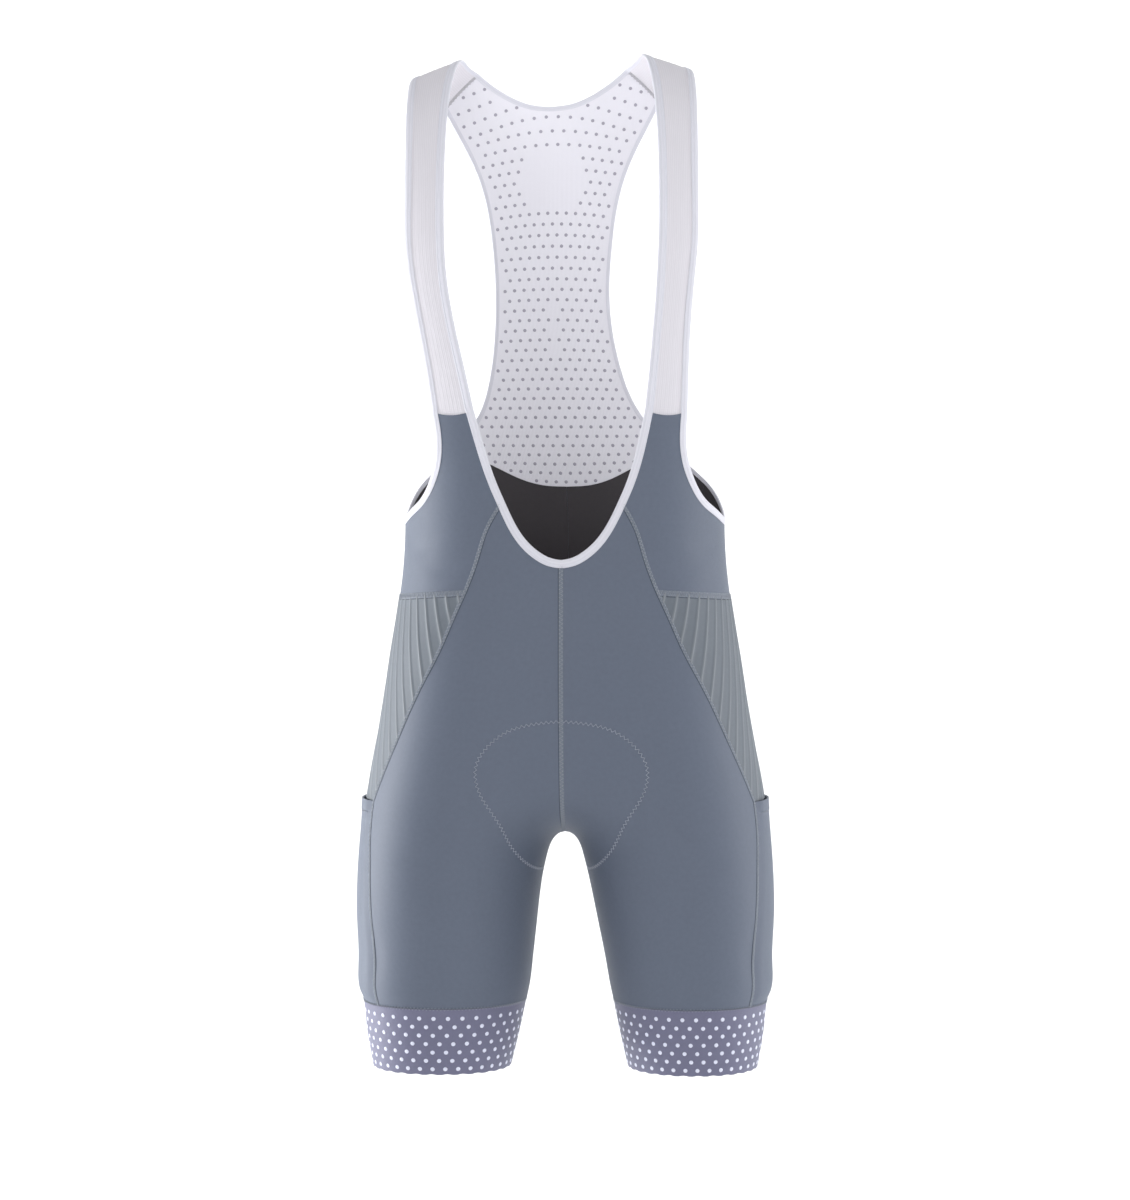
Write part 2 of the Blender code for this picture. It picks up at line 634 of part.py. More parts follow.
class Strap:
    """The strap's face as rows of points: neck edge, arm edge and the outward direction at each station."""

    CROWN = 0.0016  # how far its middle stands above the straight line between its edges

    def __init__(self):
        front = [laid(seen([Spot(row.neck, row.z), Spot(row.arm, row.z)], 1))[0] for row in STRAP_FRONT]
        top = [np.reshape(row, (2, 3)) for row in STRAP_TOP]
        first = laid([NECK_EDGE[-1], ARM_EDGE[0]])[0]
        last = laid([SCOOP_EDGE[0], ARM_EDGE[-1]])[0]
        rows = np.array([first] + front + top + [last])
        self.neck, self.arm = through(rows[:, 0], N_STRAP), through(rows[:, 1], N_STRAP)
        along = np.gradient((self.neck + self.arm) / 2, axis=0)
        outward = np.cross(self.arm - self.neck, along)
        self.outward = outward / np.linalg.norm(outward, axis=1)[:, None]
        self.along = along / np.linalg.norm(along, axis=1)[:, None]
        self.width = np.linalg.norm(self.arm - self.neck, axis=1)

    def at(self, share):
        """The points at a share of the way from the neck edge to the arm edge, one for each station."""
        share = np.reshape(share, (-1, 1))
        line = self.neck * (1 - share) + self.arm * share
        return line + self.outward * bulge(share) * self.CROWN

    def share(self, distance, edge):
        """The share of its width that lies a distance in from one of its edges, measured square to it."""
        along = np.gradient(edge, axis=0)
        along /= np.linalg.norm(along, axis=1)[:, None]
        across = (self.arm - self.neck) / self.width[:, None]
        return distance / (self.width * np.linalg.norm(np.cross(along, across), axis=1))

    def body(self):
        """The points between the bindings, with the ends drawn back from the seams."""
        clear = np.full(N_STRAP + 1, BOUND)
        clear[-2:] += GAP, TURN_GAP  # the bindings turn towards the mesh panel here
        near, far = self.share(clear, self.neck), 1 - self.share(clear, self.arm)
        steps = np.linspace(0, 1, N_BIB_WIDE + 1)
        points = np.stack([self.at(near * (1 - t) + far * t) for t in steps], axis=1)
        points[0] += self.along[0] * (GAP / 2 - ROOT_DIP * bulge(steps))[:, None]
        points[-1] -= self.along[-1] * GAP / 2
        return points


def strap_body(name, strap, hand):
    inner = strap.body()
    outer = inner + strap.outward[:, None] * CLOTH
    return wall(name, "white_elastic", on_hand(inner, hand), on_hand(outer, hand))


# ---- the bindings ----

BINDING_SECTION = [  # share of the way in from the edge, lift off the form
    (0.0, 0.0000), (1.0, -0.0003), (1.0, 0.0012), (0.8, 0.0019), (0.2, 0.0019), (0.0, 0.0010),
]


def ribbon(edge, bound, outward_edge, outward_bound):
    """Stations of a binding: the points of its section, from the garment's edge to where the panel starts."""
    stations = []
    for share, lift in BINDING_SECTION:
        outward = outward_edge * (1 - share) + outward_bound * share
        stations.append(edge * (1 - share) + bound * share + outward * lift)
    return np.stack(stations, axis=1)


def pattern_ribbon(line):
    edge, outward_edge = laid(line)
    bound, outward_bound = laid(inset(line, BINDING))
    return ribbon(edge, bound, outward_edge, outward_bound)


def strap_ribbon(strap, from_neck):
    """The binding along one edge of the strap, without its end stations, which the panels' bindings have."""
    if from_neck:
        edge, bound = strap.at(0), strap.at(strap.share(BINDING, strap.neck))
    else:
        edge, bound = strap.at(1), strap.at(1 - strap.share(BINDING, strap.arm))
    return ribbon(edge, bound, strap.outward, strap.outward)[1:-1]


def binding(name, stations):
    """A closed loop of binding."""
    bm = bmesh.new()
    rings = [[bm.verts.new(p) for p in station] for station in posed(stations)]
    sides = len(BINDING_SECTION)
    for this, following in zip(rings, rings[1:] + rings[:1]):
        for i in range(sides):
            j = (i + 1) % sides
            bm.faces.new([this[i], this[j], following[j], following[i]])
    return make_object(name, "white_elastic", bm)


def neck_binding(name, strap):
    """Round the V, up both straps and across the scoop of the back."""
    half = np.concatenate([pattern_ribbon(NECK_EDGE), strap_ribbon(strap, True), pattern_ribbon(SCOOP_EDGE)])
    half[[0, -1], :, 0] = 0
    return binding(name, np.concatenate([half, on_hand(half, -1)[-2:0:-1]]))


def armhole_binding(name, strap, hand):
    """Down the armhole, up the seat and mesh panels' edges and back over the strap."""
    around = np.concatenate([pattern_ribbon(ARM_EDGE), strap_ribbon(strap, False)[::-1]])
    return binding(name, on_hand(around, hand))


# ---- the garment ----


def clear_scene():
    for leftover in list(bpy.data.objects):
        bpy.data.objects.remove(leftover, do_unlink=True)


def build():
    clear_scene()
    collection = bpy.data.collections.new(COLLECTION)
    bpy.context.scene.collection.children.link(collection)
    collection.objects.link(bpy.data.objects.new(COLLECTION, None))

    strap, ribs, thigh = Strap(), ribbed_grid(), thigh_grid()
    rib_rise = np.where(np.arange(ribs.shape[1]) % 2, RIB_HEIGHT, 0.0)
    mouth_rise = np.clip(1 - (POCKET_TOP_Z - thigh[..., 1]) / POCKET_MOUTH_DEPTH, 0, 1) ** 2
    for hand, side in ((1, "left"), (-1, "right")):
        panel(f"front_{side}", "grey_knit", front_grid(), hand)
        panel(f"seat_{side}", "grey_knit", seat_grid(), hand)
        panel(f"bib_side_{side}", "grey_knit", bib_side_grid(), hand)
        panel(f"ribbed_side_{side}", "ribbed_knit", ribs, hand, raised=rib_rise)
        panel(f"thigh_side_{side}", "grey_knit", thigh, hand)
        pocket_base = CLOTH + GAP + POCKET_MOUTH_LIFT * mouth_rise
        panel(f"pocket_{side}", "grey_knit", thigh, hand, base=pocket_base)
        panel(f"leg_band_{side}", "dotted_band", band_grid(), hand, thick=BAND_CLOTH, closed=True)
        strap_body(f"strap_{side}", strap, hand)
        armhole_binding(f"armhole_binding_{side}", strap, hand)
    mesh_panel("back_mesh")
    neck_binding("neck_binding", strap)


build()
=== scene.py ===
"""Looks of the cycling bib shorts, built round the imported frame.

Metres, +Z up, the front faces -Y and the wearer's left is +X; the origin is on top of the shoulders.
As in the solids, all cloth follows one form, given by a table of rings, and a panel is cut in the
pattern plane (side, z): side is the distance along the cloth from the side line, positive towards the
front. Here each panel is a fine shell on that form, with its ribs, seams, stitches, dots and creases.
"""

import math
from collections import namedtuple

import bpy
import numpy as np
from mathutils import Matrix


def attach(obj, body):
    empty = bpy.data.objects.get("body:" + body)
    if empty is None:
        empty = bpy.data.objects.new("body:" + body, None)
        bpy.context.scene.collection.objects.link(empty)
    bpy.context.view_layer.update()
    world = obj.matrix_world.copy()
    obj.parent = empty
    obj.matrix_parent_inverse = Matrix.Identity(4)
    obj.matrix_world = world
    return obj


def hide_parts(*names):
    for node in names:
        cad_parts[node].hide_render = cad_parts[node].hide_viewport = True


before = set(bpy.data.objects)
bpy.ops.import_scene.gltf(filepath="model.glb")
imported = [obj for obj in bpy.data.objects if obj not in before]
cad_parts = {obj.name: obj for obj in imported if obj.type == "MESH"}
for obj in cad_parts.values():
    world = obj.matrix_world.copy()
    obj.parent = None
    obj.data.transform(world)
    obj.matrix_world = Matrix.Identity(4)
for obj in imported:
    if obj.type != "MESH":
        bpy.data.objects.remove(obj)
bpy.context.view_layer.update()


def table(kind, *rows):
    """A table whose rows have named values."""
    return [kind(*row) for row in rows]


# ---- sizes, as in the solids ----

CLOTH = 0.0012  # knitted fabric
BAND_CLOTH = 0.0016  # leg band, folded double
BINDING = 0.0070  # width of the folded edge binding
GAP = 0.0003  # between pieces that are sewn together
RIB_HEIGHT = 0.0008
RIBS = 18  # on each side panel
RIBS_CUT = 11  # so many of them end on the diagonal seam
POCKET_MOUTH_LIFT = 0.0022  # how far the pocket's top edge stands off the leg
POCKET_MOUTH_DEPTH = 0.040  # over this length below its top edge

WAIST_SEAM_Z = -0.462
POCKET_TOP_Z = -0.642
CROTCH_Z = -0.6705
BAND_TOP_Z = -0.8185
HEM_Z = -0.8765
ROOT_Z = -0.309  # where the white strap meets the grey bib
ROOT_DIP = 0.003  # the middle of that seam hangs this much lower
WAIST_DIP = 0.003  # and so does the middle of the waist seam

# How the garment departs from its mirror image: each change grows from one height to the other.
Change = namedtuple("Change", "amount from_z to_z")
LEAN = Change(-0.0115, -0.400, -0.175)  # the shoulders' place towards +X, next to the hips
TWIST = Change(0.035, -0.430, -0.260)  # the shoulders' turn about Z, in radians
TILT = Change(0.033, -0.250, -0.020)  # the shoulders' rise per metre towards +X
SWING = Change(0.0055, -0.690, -0.820)  # the place of the legs' inner sides towards +X

# How the rings that shape the two halves are rounded and how they flow into each other
ROUNDNESS = 2.1
MERGE = 6.0
# The reach of a ring, as a share of its centre's distance, at which the two halves just touch
TOUCH = 0.5 ** (1 / MERGE)

# Each row is one half's ring at a height. outer: the side line's distance from the centre plane;
# centre: the ring's own centre from that plane; reach: its half width inwards; front, back: its half
# depths; mid: where between front and back it is widest.
Ring = namedtuple("Ring", "z outer centre reach front back mid")
RINGS = table(
    Ring,
    (0.020, 0.172, 0.062, 0.128, 0.018, 0.033, 0.000),
    (0.000, 0.172, 0.062, 0.128, 0.030, 0.046, 0.000),
    (-0.030, 0.171, 0.062, 0.128, 0.050, 0.062, 0.000),
    (-0.060, 0.168, 0.062, 0.127, 0.069, 0.075, 0.000),
    (-0.100, 0.164, 0.062, 0.126, 0.085, 0.087, 0.000),
    (-0.150, 0.160, 0.062, 0.125, 0.098, 0.096, 0.000),
    (-0.200, 0.156, 0.062, 0.124, 0.104, 0.100, 0.000),
    (-0.250, 0.151, 0.062, 0.124, 0.105, 0.100, 0.000),
    (-0.300, 0.146, 0.061, 0.122, 0.102, 0.097, 0.000),
    (-0.345, 0.141, 0.059, 0.118, 0.099, 0.092, 0.000),
    (-0.390, 0.1385, 0.058, 0.116, 0.096, 0.087, 0.000),
    (-0.430, 0.1395, 0.058, 0.116, 0.095, 0.086, 0.000),
    (WAIST_SEAM_Z, 0.1430, 0.060, 0.117, 0.096, 0.091, 0.001),
    (-0.505, 0.1500, 0.064, 0.120, 0.099, 0.103, 0.002),
    (-0.540, 0.1555, 0.070, 0.126, 0.101, 0.113, 0.004),
    (-0.575, 0.1612, 0.078, 0.131, 0.101, 0.120, 0.006),
    (-0.610, 0.1680, 0.086, 0.130, 0.099, 0.121, 0.008),
    (-0.640, 0.1735, 0.092, 0.116, 0.096, 0.116, 0.009),
    (CROTCH_Z, 0.1778, 0.0973, 0.0973 * TOUCH, 0.093, 0.107, 0.009),
    (-0.690, 0.1795, 0.0992, 0.0805, 0.090, 0.100, 0.008),
    (-0.715, 0.1808, 0.1022, 0.0785, 0.087, 0.092, 0.007),
    (-0.750, 0.1808, 0.1050, 0.0760, 0.081, 0.084, 0.006),
    (-0.785, 0.1795, 0.1070, 0.0728, 0.074, 0.077, 0.005),
    (-0.806, 0.1792, 0.1085, 0.0712, 0.0705, 0.0735, 0.005),
    (BAND_TOP_Z, 0.1760, 0.1090, 0.0690, 0.0680, 0.0705, 0.004),
    (-0.840, 0.1735, 0.1095, 0.0650, 0.0650, 0.0675, 0.004),
    (-0.860, 0.1705, 0.1100, 0.0610, 0.0615, 0.0640, 0.004),
    (HEM_Z, 0.1675, 0.1100, 0.0570, 0.0580, 0.0605, 0.004),
)

# Where the garment's edges and seams run. x is the distance from the centre plane, seen from the front
# or back.
Spot = namedtuple("Spot", "x z")
NECK = table(  # from the bottom of the V up to the strap's root
    Spot,
    (0.0000, -0.4343), (0.0080, -0.4328), (0.0180, -0.4277), (0.0285, -0.4185), (0.0372, -0.4065),
    (0.0441, -0.3931), (0.0480, -0.3845), (0.0520, -0.3755), (0.0592, -0.3560), (0.0656, -0.3333),
    (0.0716, ROOT_Z),
)
NECK_AT_DIAGONAL = 6  # the row of NECK from which the diagonal seam leaves
ARMHOLE_FRONT = table(  # from the strap's root down towards the side
    Spot,
    (0.1080, ROOT_Z), (0.1058, -0.3335), (0.1073, -0.3500), (0.1118, -0.3650), (0.1200, -0.3800),
    (0.1290, -0.3880),
)
ARMHOLE_LOW_Z = -0.3935  # on the side line
# from the side up to the panel's back seam
ARMHOLE_BACK = table(Spot, (0.1345, -0.3750), (0.1265, -0.3610))
# on from there to the mesh panel's seam
SEAT_EDGE = table(Spot, (0.1265, -0.3610), (0.1140, -0.3470), (0.0980, -0.3290))
MESH_EDGE = table(  # on from there up to the strap's back seam
    Spot,
    (0.0980, -0.3290), (0.0850, -0.3125), (0.0740, -0.2970), (0.0600, -0.2575), (0.0540, -0.2200),
    (0.0524, -0.1830), (0.0547, -0.1450), (0.0592, -0.1110), (0.0695, -0.0760), (0.0800, -0.0545),
    (0.0975, -0.0230),
)
MESH_SEAM = table(  # from the centre back out to the edge
    Spot,
    (0.0000, -0.3643), (0.0200, -0.3632), (0.0345, -0.3598), (0.0505, -0.3530), (0.0650, -0.3455),
    (0.0980, -0.3290),
)
SCOOP = table(  # the mesh panel's top edge, from the centre back out to the strap's back seam
    Spot,
    (0.0000, -0.0228), (0.0140, -0.0216), (0.0280, -0.0178), (0.0410, -0.0117), (0.0540, -0.0038),
    (0.0660, 0.0055),
)
# the diagonal seam, from the neck's binding down to the waist seam
DIAGONAL_HIGH = table(Spot, (0.0635, -0.4095), (0.0712, -0.4343), (0.0815, WAIST_SEAM_Z))
DIAGONAL_LOW = table(  # and on down to the pocket
    Spot,
    (0.0815, WAIST_SEAM_Z), (0.0918, -0.4850), (0.1028, -0.5102), (0.1170, -0.5374),
    (0.1304, -0.5648), (0.1425, -0.5920), (0.1535, -0.6170), (0.1635, POCKET_TOP_Z),
)
THIGH_FRONT = table(  # the pocket's front edge, down to the leg band
    Spot,
    (0.1635, POCKET_TOP_Z), (0.1665, -0.6750), (0.1665, -0.7100), (0.1640, -0.7590),
    (0.1598, BAND_TOP_Z),
)

# Seams behind the side line. side: distance along the cloth from it, negative towards the back
Seam = namedtuple("Seam", "side z")
# from the armhole down to the waist seam
BACK_HIGH = table(Seam, (-0.0800, -0.4100), (-0.0840, WAIST_SEAM_Z))
BACK_LOW = table(  # and on down to the pocket
    Seam,
    (-0.0840, WAIST_SEAM_Z), (-0.0820, -0.5400), (-0.0740, -0.6000), (-0.0660, POCKET_TOP_Z),
)
THIGH_BACK = table(Seam, (-0.0660, POCKET_TOP_Z), (-0.0640, -0.7300), (-0.0620, BAND_TOP_Z))

# The strap, from the root up the chest: x of its neck and arm edges at each height
StrapRow = namedtuple("StrapRow", "z neck arm")
STRAP_FRONT = table(
    StrapRow,
    (-0.2575, 0.0799, 0.1128), (-0.2070, 0.0870, 0.1192), (-0.1650, 0.0899, 0.1240),
    (-0.1210, 0.0906, 0.1247), (-0.0850, 0.0902, 0.1250), (-0.0500, 0.0888, 0.1251),
)
# and over the shoulder to the mesh panel
StrapTop = namedtuple("StrapTop", "neck_x neck_y neck_z arm_x arm_y arm_z")
STRAP_TOP = table(
    StrapTop,
    (0.0850, -0.0350, -0.0125, 0.1248, -0.0320, -0.0250),
    (0.0808, -0.0120, 0.0048, 0.1230, -0.0100, -0.0098),
    (0.0765, 0.0120, 0.0098, 0.1178, 0.0140, -0.0066),
    (0.0725, 0.0310, 0.0080, 0.1070, 0.0380, -0.0140),
)

# The solids' lines have these many stretches; here each stretch has FINE.
FINE = 5
N_NECK_LOW, N_NECK_HIGH = 9 * FINE, 6 * FINE
N_BIB_WIDE, N_WAIST_SEAM = 4 * FINE, 8 * FINE
N_DIAGONAL, N_INSEAM = RIBS_CUT * FINE, 8 * FINE
N_SCOOP, N_STRAP_SEAM, N_MESH_EDGE, N_SEAT_EDGE = 7 * FINE, 2 * FINE, 15 * FINE, 3 * FINE
N_STRAP = 24 * FINE
N_ARMHOLE = N_NECK_HIGH + N_BIB_WIDE + N_WAIST_SEAM
N_RISE = N_BIB_WIDE + N_DIAGONAL

# ---- sizes of what only the looks have ----

# How finely the panels are divided: columns and rows of their grids
FRONT_GRID, SEAT_GRID, MESH_GRID, BAND_GRID = (54, 120), (72, 120), (44, 90), (232, 24)
BIB_SIDE_GRID, RIBBED_ROWS, THIGH_COLUMNS, THIGH_ROWS = (N_ARMHOLE, 24), 56, 52, 56
HEM_ROWS, HEM_STEP = 5, 0.002  # rows of the pocket's hem, and the share of height over which it rises
STRAP_STEPS = 26
SHARP_EDGE = math.radians(55)

# Soft creases, as troughs in the cloth. side, z: the middle; angle: which way it runs, in degrees from
# side towards +z; length, width and depth of the trough.
Crease = namedtuple("Crease", "side z angle length width depth")
CREASES = table(
    Crease,
    (0.150, -0.650, 62, 0.090, 0.0060, 0.0012),
    (0.172, -0.640, 74, 0.070, 0.0050, 0.0009),
    (0.120, -0.684, 28, 0.075, 0.0060, 0.0010),
    (0.130, -0.715, 12, 0.060, 0.0060, 0.0008),
    (0.060, -0.775, 84, 0.080, 0.0080, 0.0007),
    (0.105, -0.440, 20, 0.070, 0.0080, 0.0009),
    (0.070, -0.425, 8, 0.060, 0.0070, 0.0008),
    (-0.120, -0.690, -30, 0.080, 0.0070, 0.0014),
    (-0.100, -0.712, -12, 0.100, 0.0080, 0.0016),
    (-0.135, -0.668, -52, 0.070, 0.0060, 0.0011),
    (-0.110, -0.395, -10, 0.090, 0.0090, 0.0013),
    (-0.120, -0.420, 6, 0.080, 0.0080, 0.0010),
    (-0.070, -0.770, -80, 0.070, 0.0080, 0.0008),
)
CREASE_BOW = 0.9  # how much they bend

# The stitch line that holds the seat pad inside: half of its outline, in front and behind
PAD_FRONT = table(
    Spot,
    (0.0000, -0.5703), (0.0250, -0.5730), (0.0470, -0.5798), (0.0630, -0.5925), (0.0715, -0.6060),
    (0.0728, -0.6190), (0.0690, -0.6330), (0.0615, -0.6460), (0.0530, -0.6600), (0.0440, -0.6800),
    (0.0345, -0.6930),
)
PAD_BACK = table(
    Spot,
    (0.0000, -0.5300), (0.0270, -0.5330), (0.0530, -0.5420), (0.0720, -0.5570), (0.0810, -0.5770),
    (0.0800, -0.6000), (0.0710, -0.6250), (0.0590, -0.6500), (0.0470, -0.6750), (0.0375, -0.6930),
)

POCKET_HEM = 0.0095  # depth of the pocket's top hem
POCKET_HEM_RISE = 0.0005
POCKET_TUCK = 0.0110  # the layers thin out over this far from the pocket's seams
TUCKED_CLOTH = 0.0006  # to this thickness each
SCALLOP, SCALLOP_COLUMNS = 0.0009, 8  # height and width of the waves along the hem

THREAD = 0.00028  # radius of a stitch's thread
PAD_THREAD_RADIUS = 0.00038
FLATLOCK = 0.0036  # width of a flat seam
FLATLOCK_RISE = 0.00045
FLATLOCK_PITCH = 0.0034  # of its zigzag
STITCH_WIDE, STITCH_PITCH = 0.0022, 0.0030  # of the narrow zigzag at the hems
PAD_STITCH = 0.0024, 0.0042  # width and pitch
PAD_END_Z = -0.703  # where the pad's stitches reach the inseam
BINDING_THREAD, BINDING_ZIGZAG = 0.00018, (0.0012, 0.0028)
STITCH_SHARE = 0.8  # width of a flat seam's zigzag, as a share of the seam's
SEAM_STEP, FINE_STEP, PAD_STEP = 0.003, 0.002, 0.0015  # between the points along seams
HEM_CLEAR = 0.004  # the pocket hem's stitches end this far from its seams
CROTCH_CLEAR = 0.002  # and the centre seams this far above the crotch
CENTRE_FLATLOCK = 0.0040
GROOVE_SHADOW, GROOVE_SHADOW_RISE = 0.0008, 0.00012  # width and rise of the painted shadow, a dark strip beside a flat seam
GROOVE_SHADOW_PLACE = 0.55  # how far it lies from the seam's middle, as a share of the seam's width
# On which side of its line a seam's painted groove shadow lies: 1 is to the right, looking along it from
# outside
GROOVE_SHADOW_SIDE = {"diagonal": 1, "waist": 1, "centre_front": 1, "centre_back": 1}
SEAM_WIDTH = {"diagonal": 0.0032, "back": 0.0036, "waist": 0.0052, "mesh": 0.0036}

BAND_DOT, BAND_DOT_RISE = 0.0020, 0.00035  # radius and height of a dot on the leg bands
BAND_DOT_PITCH = 0.0121
BAND_DOT_ROWS = 7
BAND_DOT_ROW_STEP = 0.0074
BAND_DOT_FIRST = 0.0082  # from the band's top to the first row
MESH_DOT, MESH_DOT_RISE = 0.0018, 0.00012  # and of a dot on the back panel
DOT_SUNK = 0.0002  # how deep a dot's foot is in the cloth
STRAP_CORDS, CORD_RISE = 9, 0.00012  # the lengthwise ridges of a strap
PATCH_Z, PATCH_RADIUS = -0.0830, 0.0262  # the bare round patch between the shoulders
LANE_TOP_Z, LANE_LOW_Z, LANE_WIDE = -0.196, -0.246, 0.0040  # the bare lane below it


# ---- the form that the cloth follows ----


class Curve:
    """A natural cubic spline through the rows of a table, whose values are numbers or points."""

    def __init__(self, knots, values):
        order = np.argsort(knots)
        self.knots = np.asarray(knots, float)[order]
        self.values = np.asarray(values, float)[order]
        count, step = len(knots), np.diff(self.knots)
        slope = np.diff(self.values, axis=0) / self.column(step)
        matrix, right = np.eye(count), np.zeros_like(self.values)
        for i in range(1, count - 1):
            matrix[i, i - 1 : i + 2] = step[i - 1], 2 * (step[i - 1] + step[i]), step[i]
            right[i] = 6 * (slope[i] - slope[i - 1])
        self.bend = np.linalg.solve(matrix, right)

    def column(self, numbers):
        return np.reshape(numbers, np.shape(numbers) + (1,) * (self.values.ndim - 1))

    def __call__(self, at):
        at = np.clip(at, self.knots[0], self.knots[-1])
        i = np.clip(np.searchsorted(self.knots, at) - 1, 0, len(self.knots) - 2)
        step = self.knots[i + 1] - self.knots[i]
        t, step = self.column((at - self.knots[i]) / step), self.column(step)
        a, b = (1 - t) ** 3 - (1 - t), t**3 - t
        curved = (a * self.bend[i] + b * self.bend[i + 1]) * step**2 / 6
        return (1 - t) * self.values[i] + t * self.values[i + 1] + curved


RING_SIZES = Curve([r.z for r in RINGS], [r[1:] for r in RINGS])


def ring_at(z):
    """The rings' sizes at heights."""
    return Ring(z, *np.moveaxis(RING_SIZES(z), -1, 0))


def ring_distance(outwards, y, ring):
    """1 on one half's ring, less inside it. outwards is measured from the ring's centre."""
    width = np.where(outwards > 0, ring.outer - ring.centre, ring.reach)
    depth = np.where(y < ring.mid, ring.front, ring.back)
    powers = (np.abs(outwards) / width) ** ROUNDNESS + (np.abs(y - ring.mid) / depth) ** ROUNDNESS
    return np.maximum(powers, 1e-9) ** (1 / ROUNDNESS)


def form(x, y, z):
    """1 on the form, where the two halves' rings flow together, and less inside it."""
    ring = ring_at(z)
    near = ring_distance(x - ring.centre, y, ring)
    far = ring_distance(-x - ring.centre, y, ring)
    return (near**-MERGE + far**-MERGE) ** (-1 / MERGE)


def slope_of_form(points):
    """The direction in which the form grows, at points."""
    step = 1e-5
    ahead, behind = ([form(*(points + sign * move).T) for move in step * np.eye(3)] for sign in (1, -1))
    return (np.array(ahead) - behind).T / (2 * step)


class Sections:
    """The left half's outline at many heights, for the front (face 1) and the back (face -1).

    Each is divided evenly from the side line to the centre plane or, below the crotch, to the inseam.
    """

    DIVISIONS = 160
    STEP = 0.0012  # between heights
    NEAR_CROTCH, ROWS_THERE = 0.010, 81  # they are closer together there
    FURTHEST, HALVINGS = 1.3, 30  # of the search for the outline, outwards from one half's ring

    def __init__(self):
        up = np.arange(CROTCH_Z, RINGS[0].z + self.STEP, self.STEP)
        down = np.arange(CROTCH_Z, HEM_Z - 2 * self.STEP, -self.STEP)
        near = np.linspace(-1, 1, self.ROWS_THERE)
        dense = CROTCH_Z + self.NEAR_CROTCH * near * np.abs(near)
        self.z = np.unique(np.round(np.concatenate([up, down, dense]), 8))
        self.girth, self.points = {}, {}
        for face in (1, -1):
            x, y = self.outline(face)
            length = np.cumsum(np.hypot(np.diff(x, axis=1), np.diff(y, axis=1)), axis=1)
            length = np.concatenate([np.zeros((len(x), 1)), length], axis=1)
            even = [np.linspace(0, row[-1], self.DIVISIONS + 1) for row in length]
            self.girth[face] = length[:, -1]
            self.points[face] = np.stack([
                [np.interp(s, row, values) for s, row, values in zip(even, length, coordinate)]
                for coordinate in (x, y)
            ], axis=-1)

    def outline(self, face):
        """x and y of points round each height's outline, from the side line on."""
        ring = ring_at(self.z[:, None])
        pull = 2 ** (ROUNDNESS / MERGE) - (ring.centre / ring.reach) ** ROUNDNESS
        rise = np.maximum(pull, 0.0) ** (1 / ROUNDNESS)
        depth = ring.front if face > 0 else ring.back
        turn = math.pi - np.arctan2(depth * rise, ring.centre)
        angle = turn * np.linspace(0, 1, 2 * self.DIVISIONS)
        across, along = np.cos(angle), -face * np.sin(angle)
        low = 1 / ring_distance(across, ring.mid + along, ring)
        to_plane = np.where(across < 0, ring.centre / np.maximum(-across, 1e-9), np.inf)
        high = np.minimum(low * self.FURTHEST, to_plane)
        for _ in range(self.HALVINGS):
            middle = (low + high) / 2
            inside = form(ring.centre + middle * across, ring.mid + middle * along, self.z[:, None]) < 1
            low, high = np.where(inside, middle, low), np.where(inside, high, middle)
        return ring.centre + high * across, ring.mid + high * along

    def below(self, z):
        """The row below each height, and how far on towards the next the height is."""
        row = np.clip(np.searchsorted(self.z, z) - 1, 0, len(self.z) - 2)
        return row, (z - self.z[row]) / (self.z[row + 1] - self.z[row])

    def girth_at(self, z, face):
        row, t = self.below(np.asarray(z, float))
        girth = self.girth[face]
        return girth[row] * (1 - t) + girth[row + 1] * t

    def seen_side(self, spot, face):
        """The pattern distance from the side line of a spot seen from the front or back."""
        row, t = self.below(np.array(spot.z, float))
        outline = self.points[face][row] * (1 - t) + self.points[face][row + 1] * t
        share = np.linspace(0, 1, self.DIVISIONS + 1)
        x = outline[::-1, 0]
        rising = np.maximum.accumulate(x)
        return face * np.interp(spot.x, rising, share[::-1]) * self.girth_at(spot.z, face)

    def locate(self, side, z):
        """The form's points at pattern points."""
        row, t = self.below(z)
        points = np.zeros(side.shape + (3,))
        for face in (1, -1):
            here = side >= 0 if face > 0 else side < 0
            r, s = row[here], t[here]
            girth = self.girth[face][r] * (1 - s) + self.girth[face][r + 1] * s
            place = np.clip(np.abs(side[here]) / girth, 0, 1) * self.DIVISIONS
            column = np.minimum(place.astype(int), self.DIVISIONS - 1)
            f, s = (place - column)[:, None], s[:, None]
            known = self.points[face]
            lower, upper = (known[i, column] * (1 - f) + known[i, column + 1] * f for i in (r, r + 1))
            points[here, :2] = lower * (1 - s) + upper * s
        points[..., 2] = z
        return points


SECTIONS = Sections()


def girth(z, face):
    """Pattern distance from the side line to the centre or inseam, in front (face 1) or behind (-1)."""
    return face * SECTIONS.girth_at(z, face)


def seen(spots, face):
    """The pattern points of spots seen from the front (face 1) or the back (face -1)."""
    return [(float(SECTIONS.seen_side(spot, face)), spot.z) for spot in spots]


def sunk(side, z):
    """How deep the creases are at pattern points."""
    depth = np.zeros(np.shape(side))
    for crease in CREASES:
        angle = math.radians(crease.angle)
        along = (side - crease.side) * math.cos(angle) + (z - crease.z) * math.sin(angle)
        across = (z - crease.z) * math.cos(angle) - (side - crease.side) * math.sin(angle)
        across = across - CREASE_BOW * along**2 / crease.length
        taper = np.clip(1 - (2 * along / crease.length) ** 2, 0, 1) ** 2
        depth += crease.depth * taper * np.exp(-((across / crease.width) ** 2))
    return depth


LEAST_SLOPE, LONGEST_STEP = 4.0, 0.0006  # of the steps that take points onto the form


def unit(vectors):
    """The directions of vectors."""
    return vectors / np.maximum(np.linalg.norm(vectors, axis=-1, keepdims=True), 1e-9)


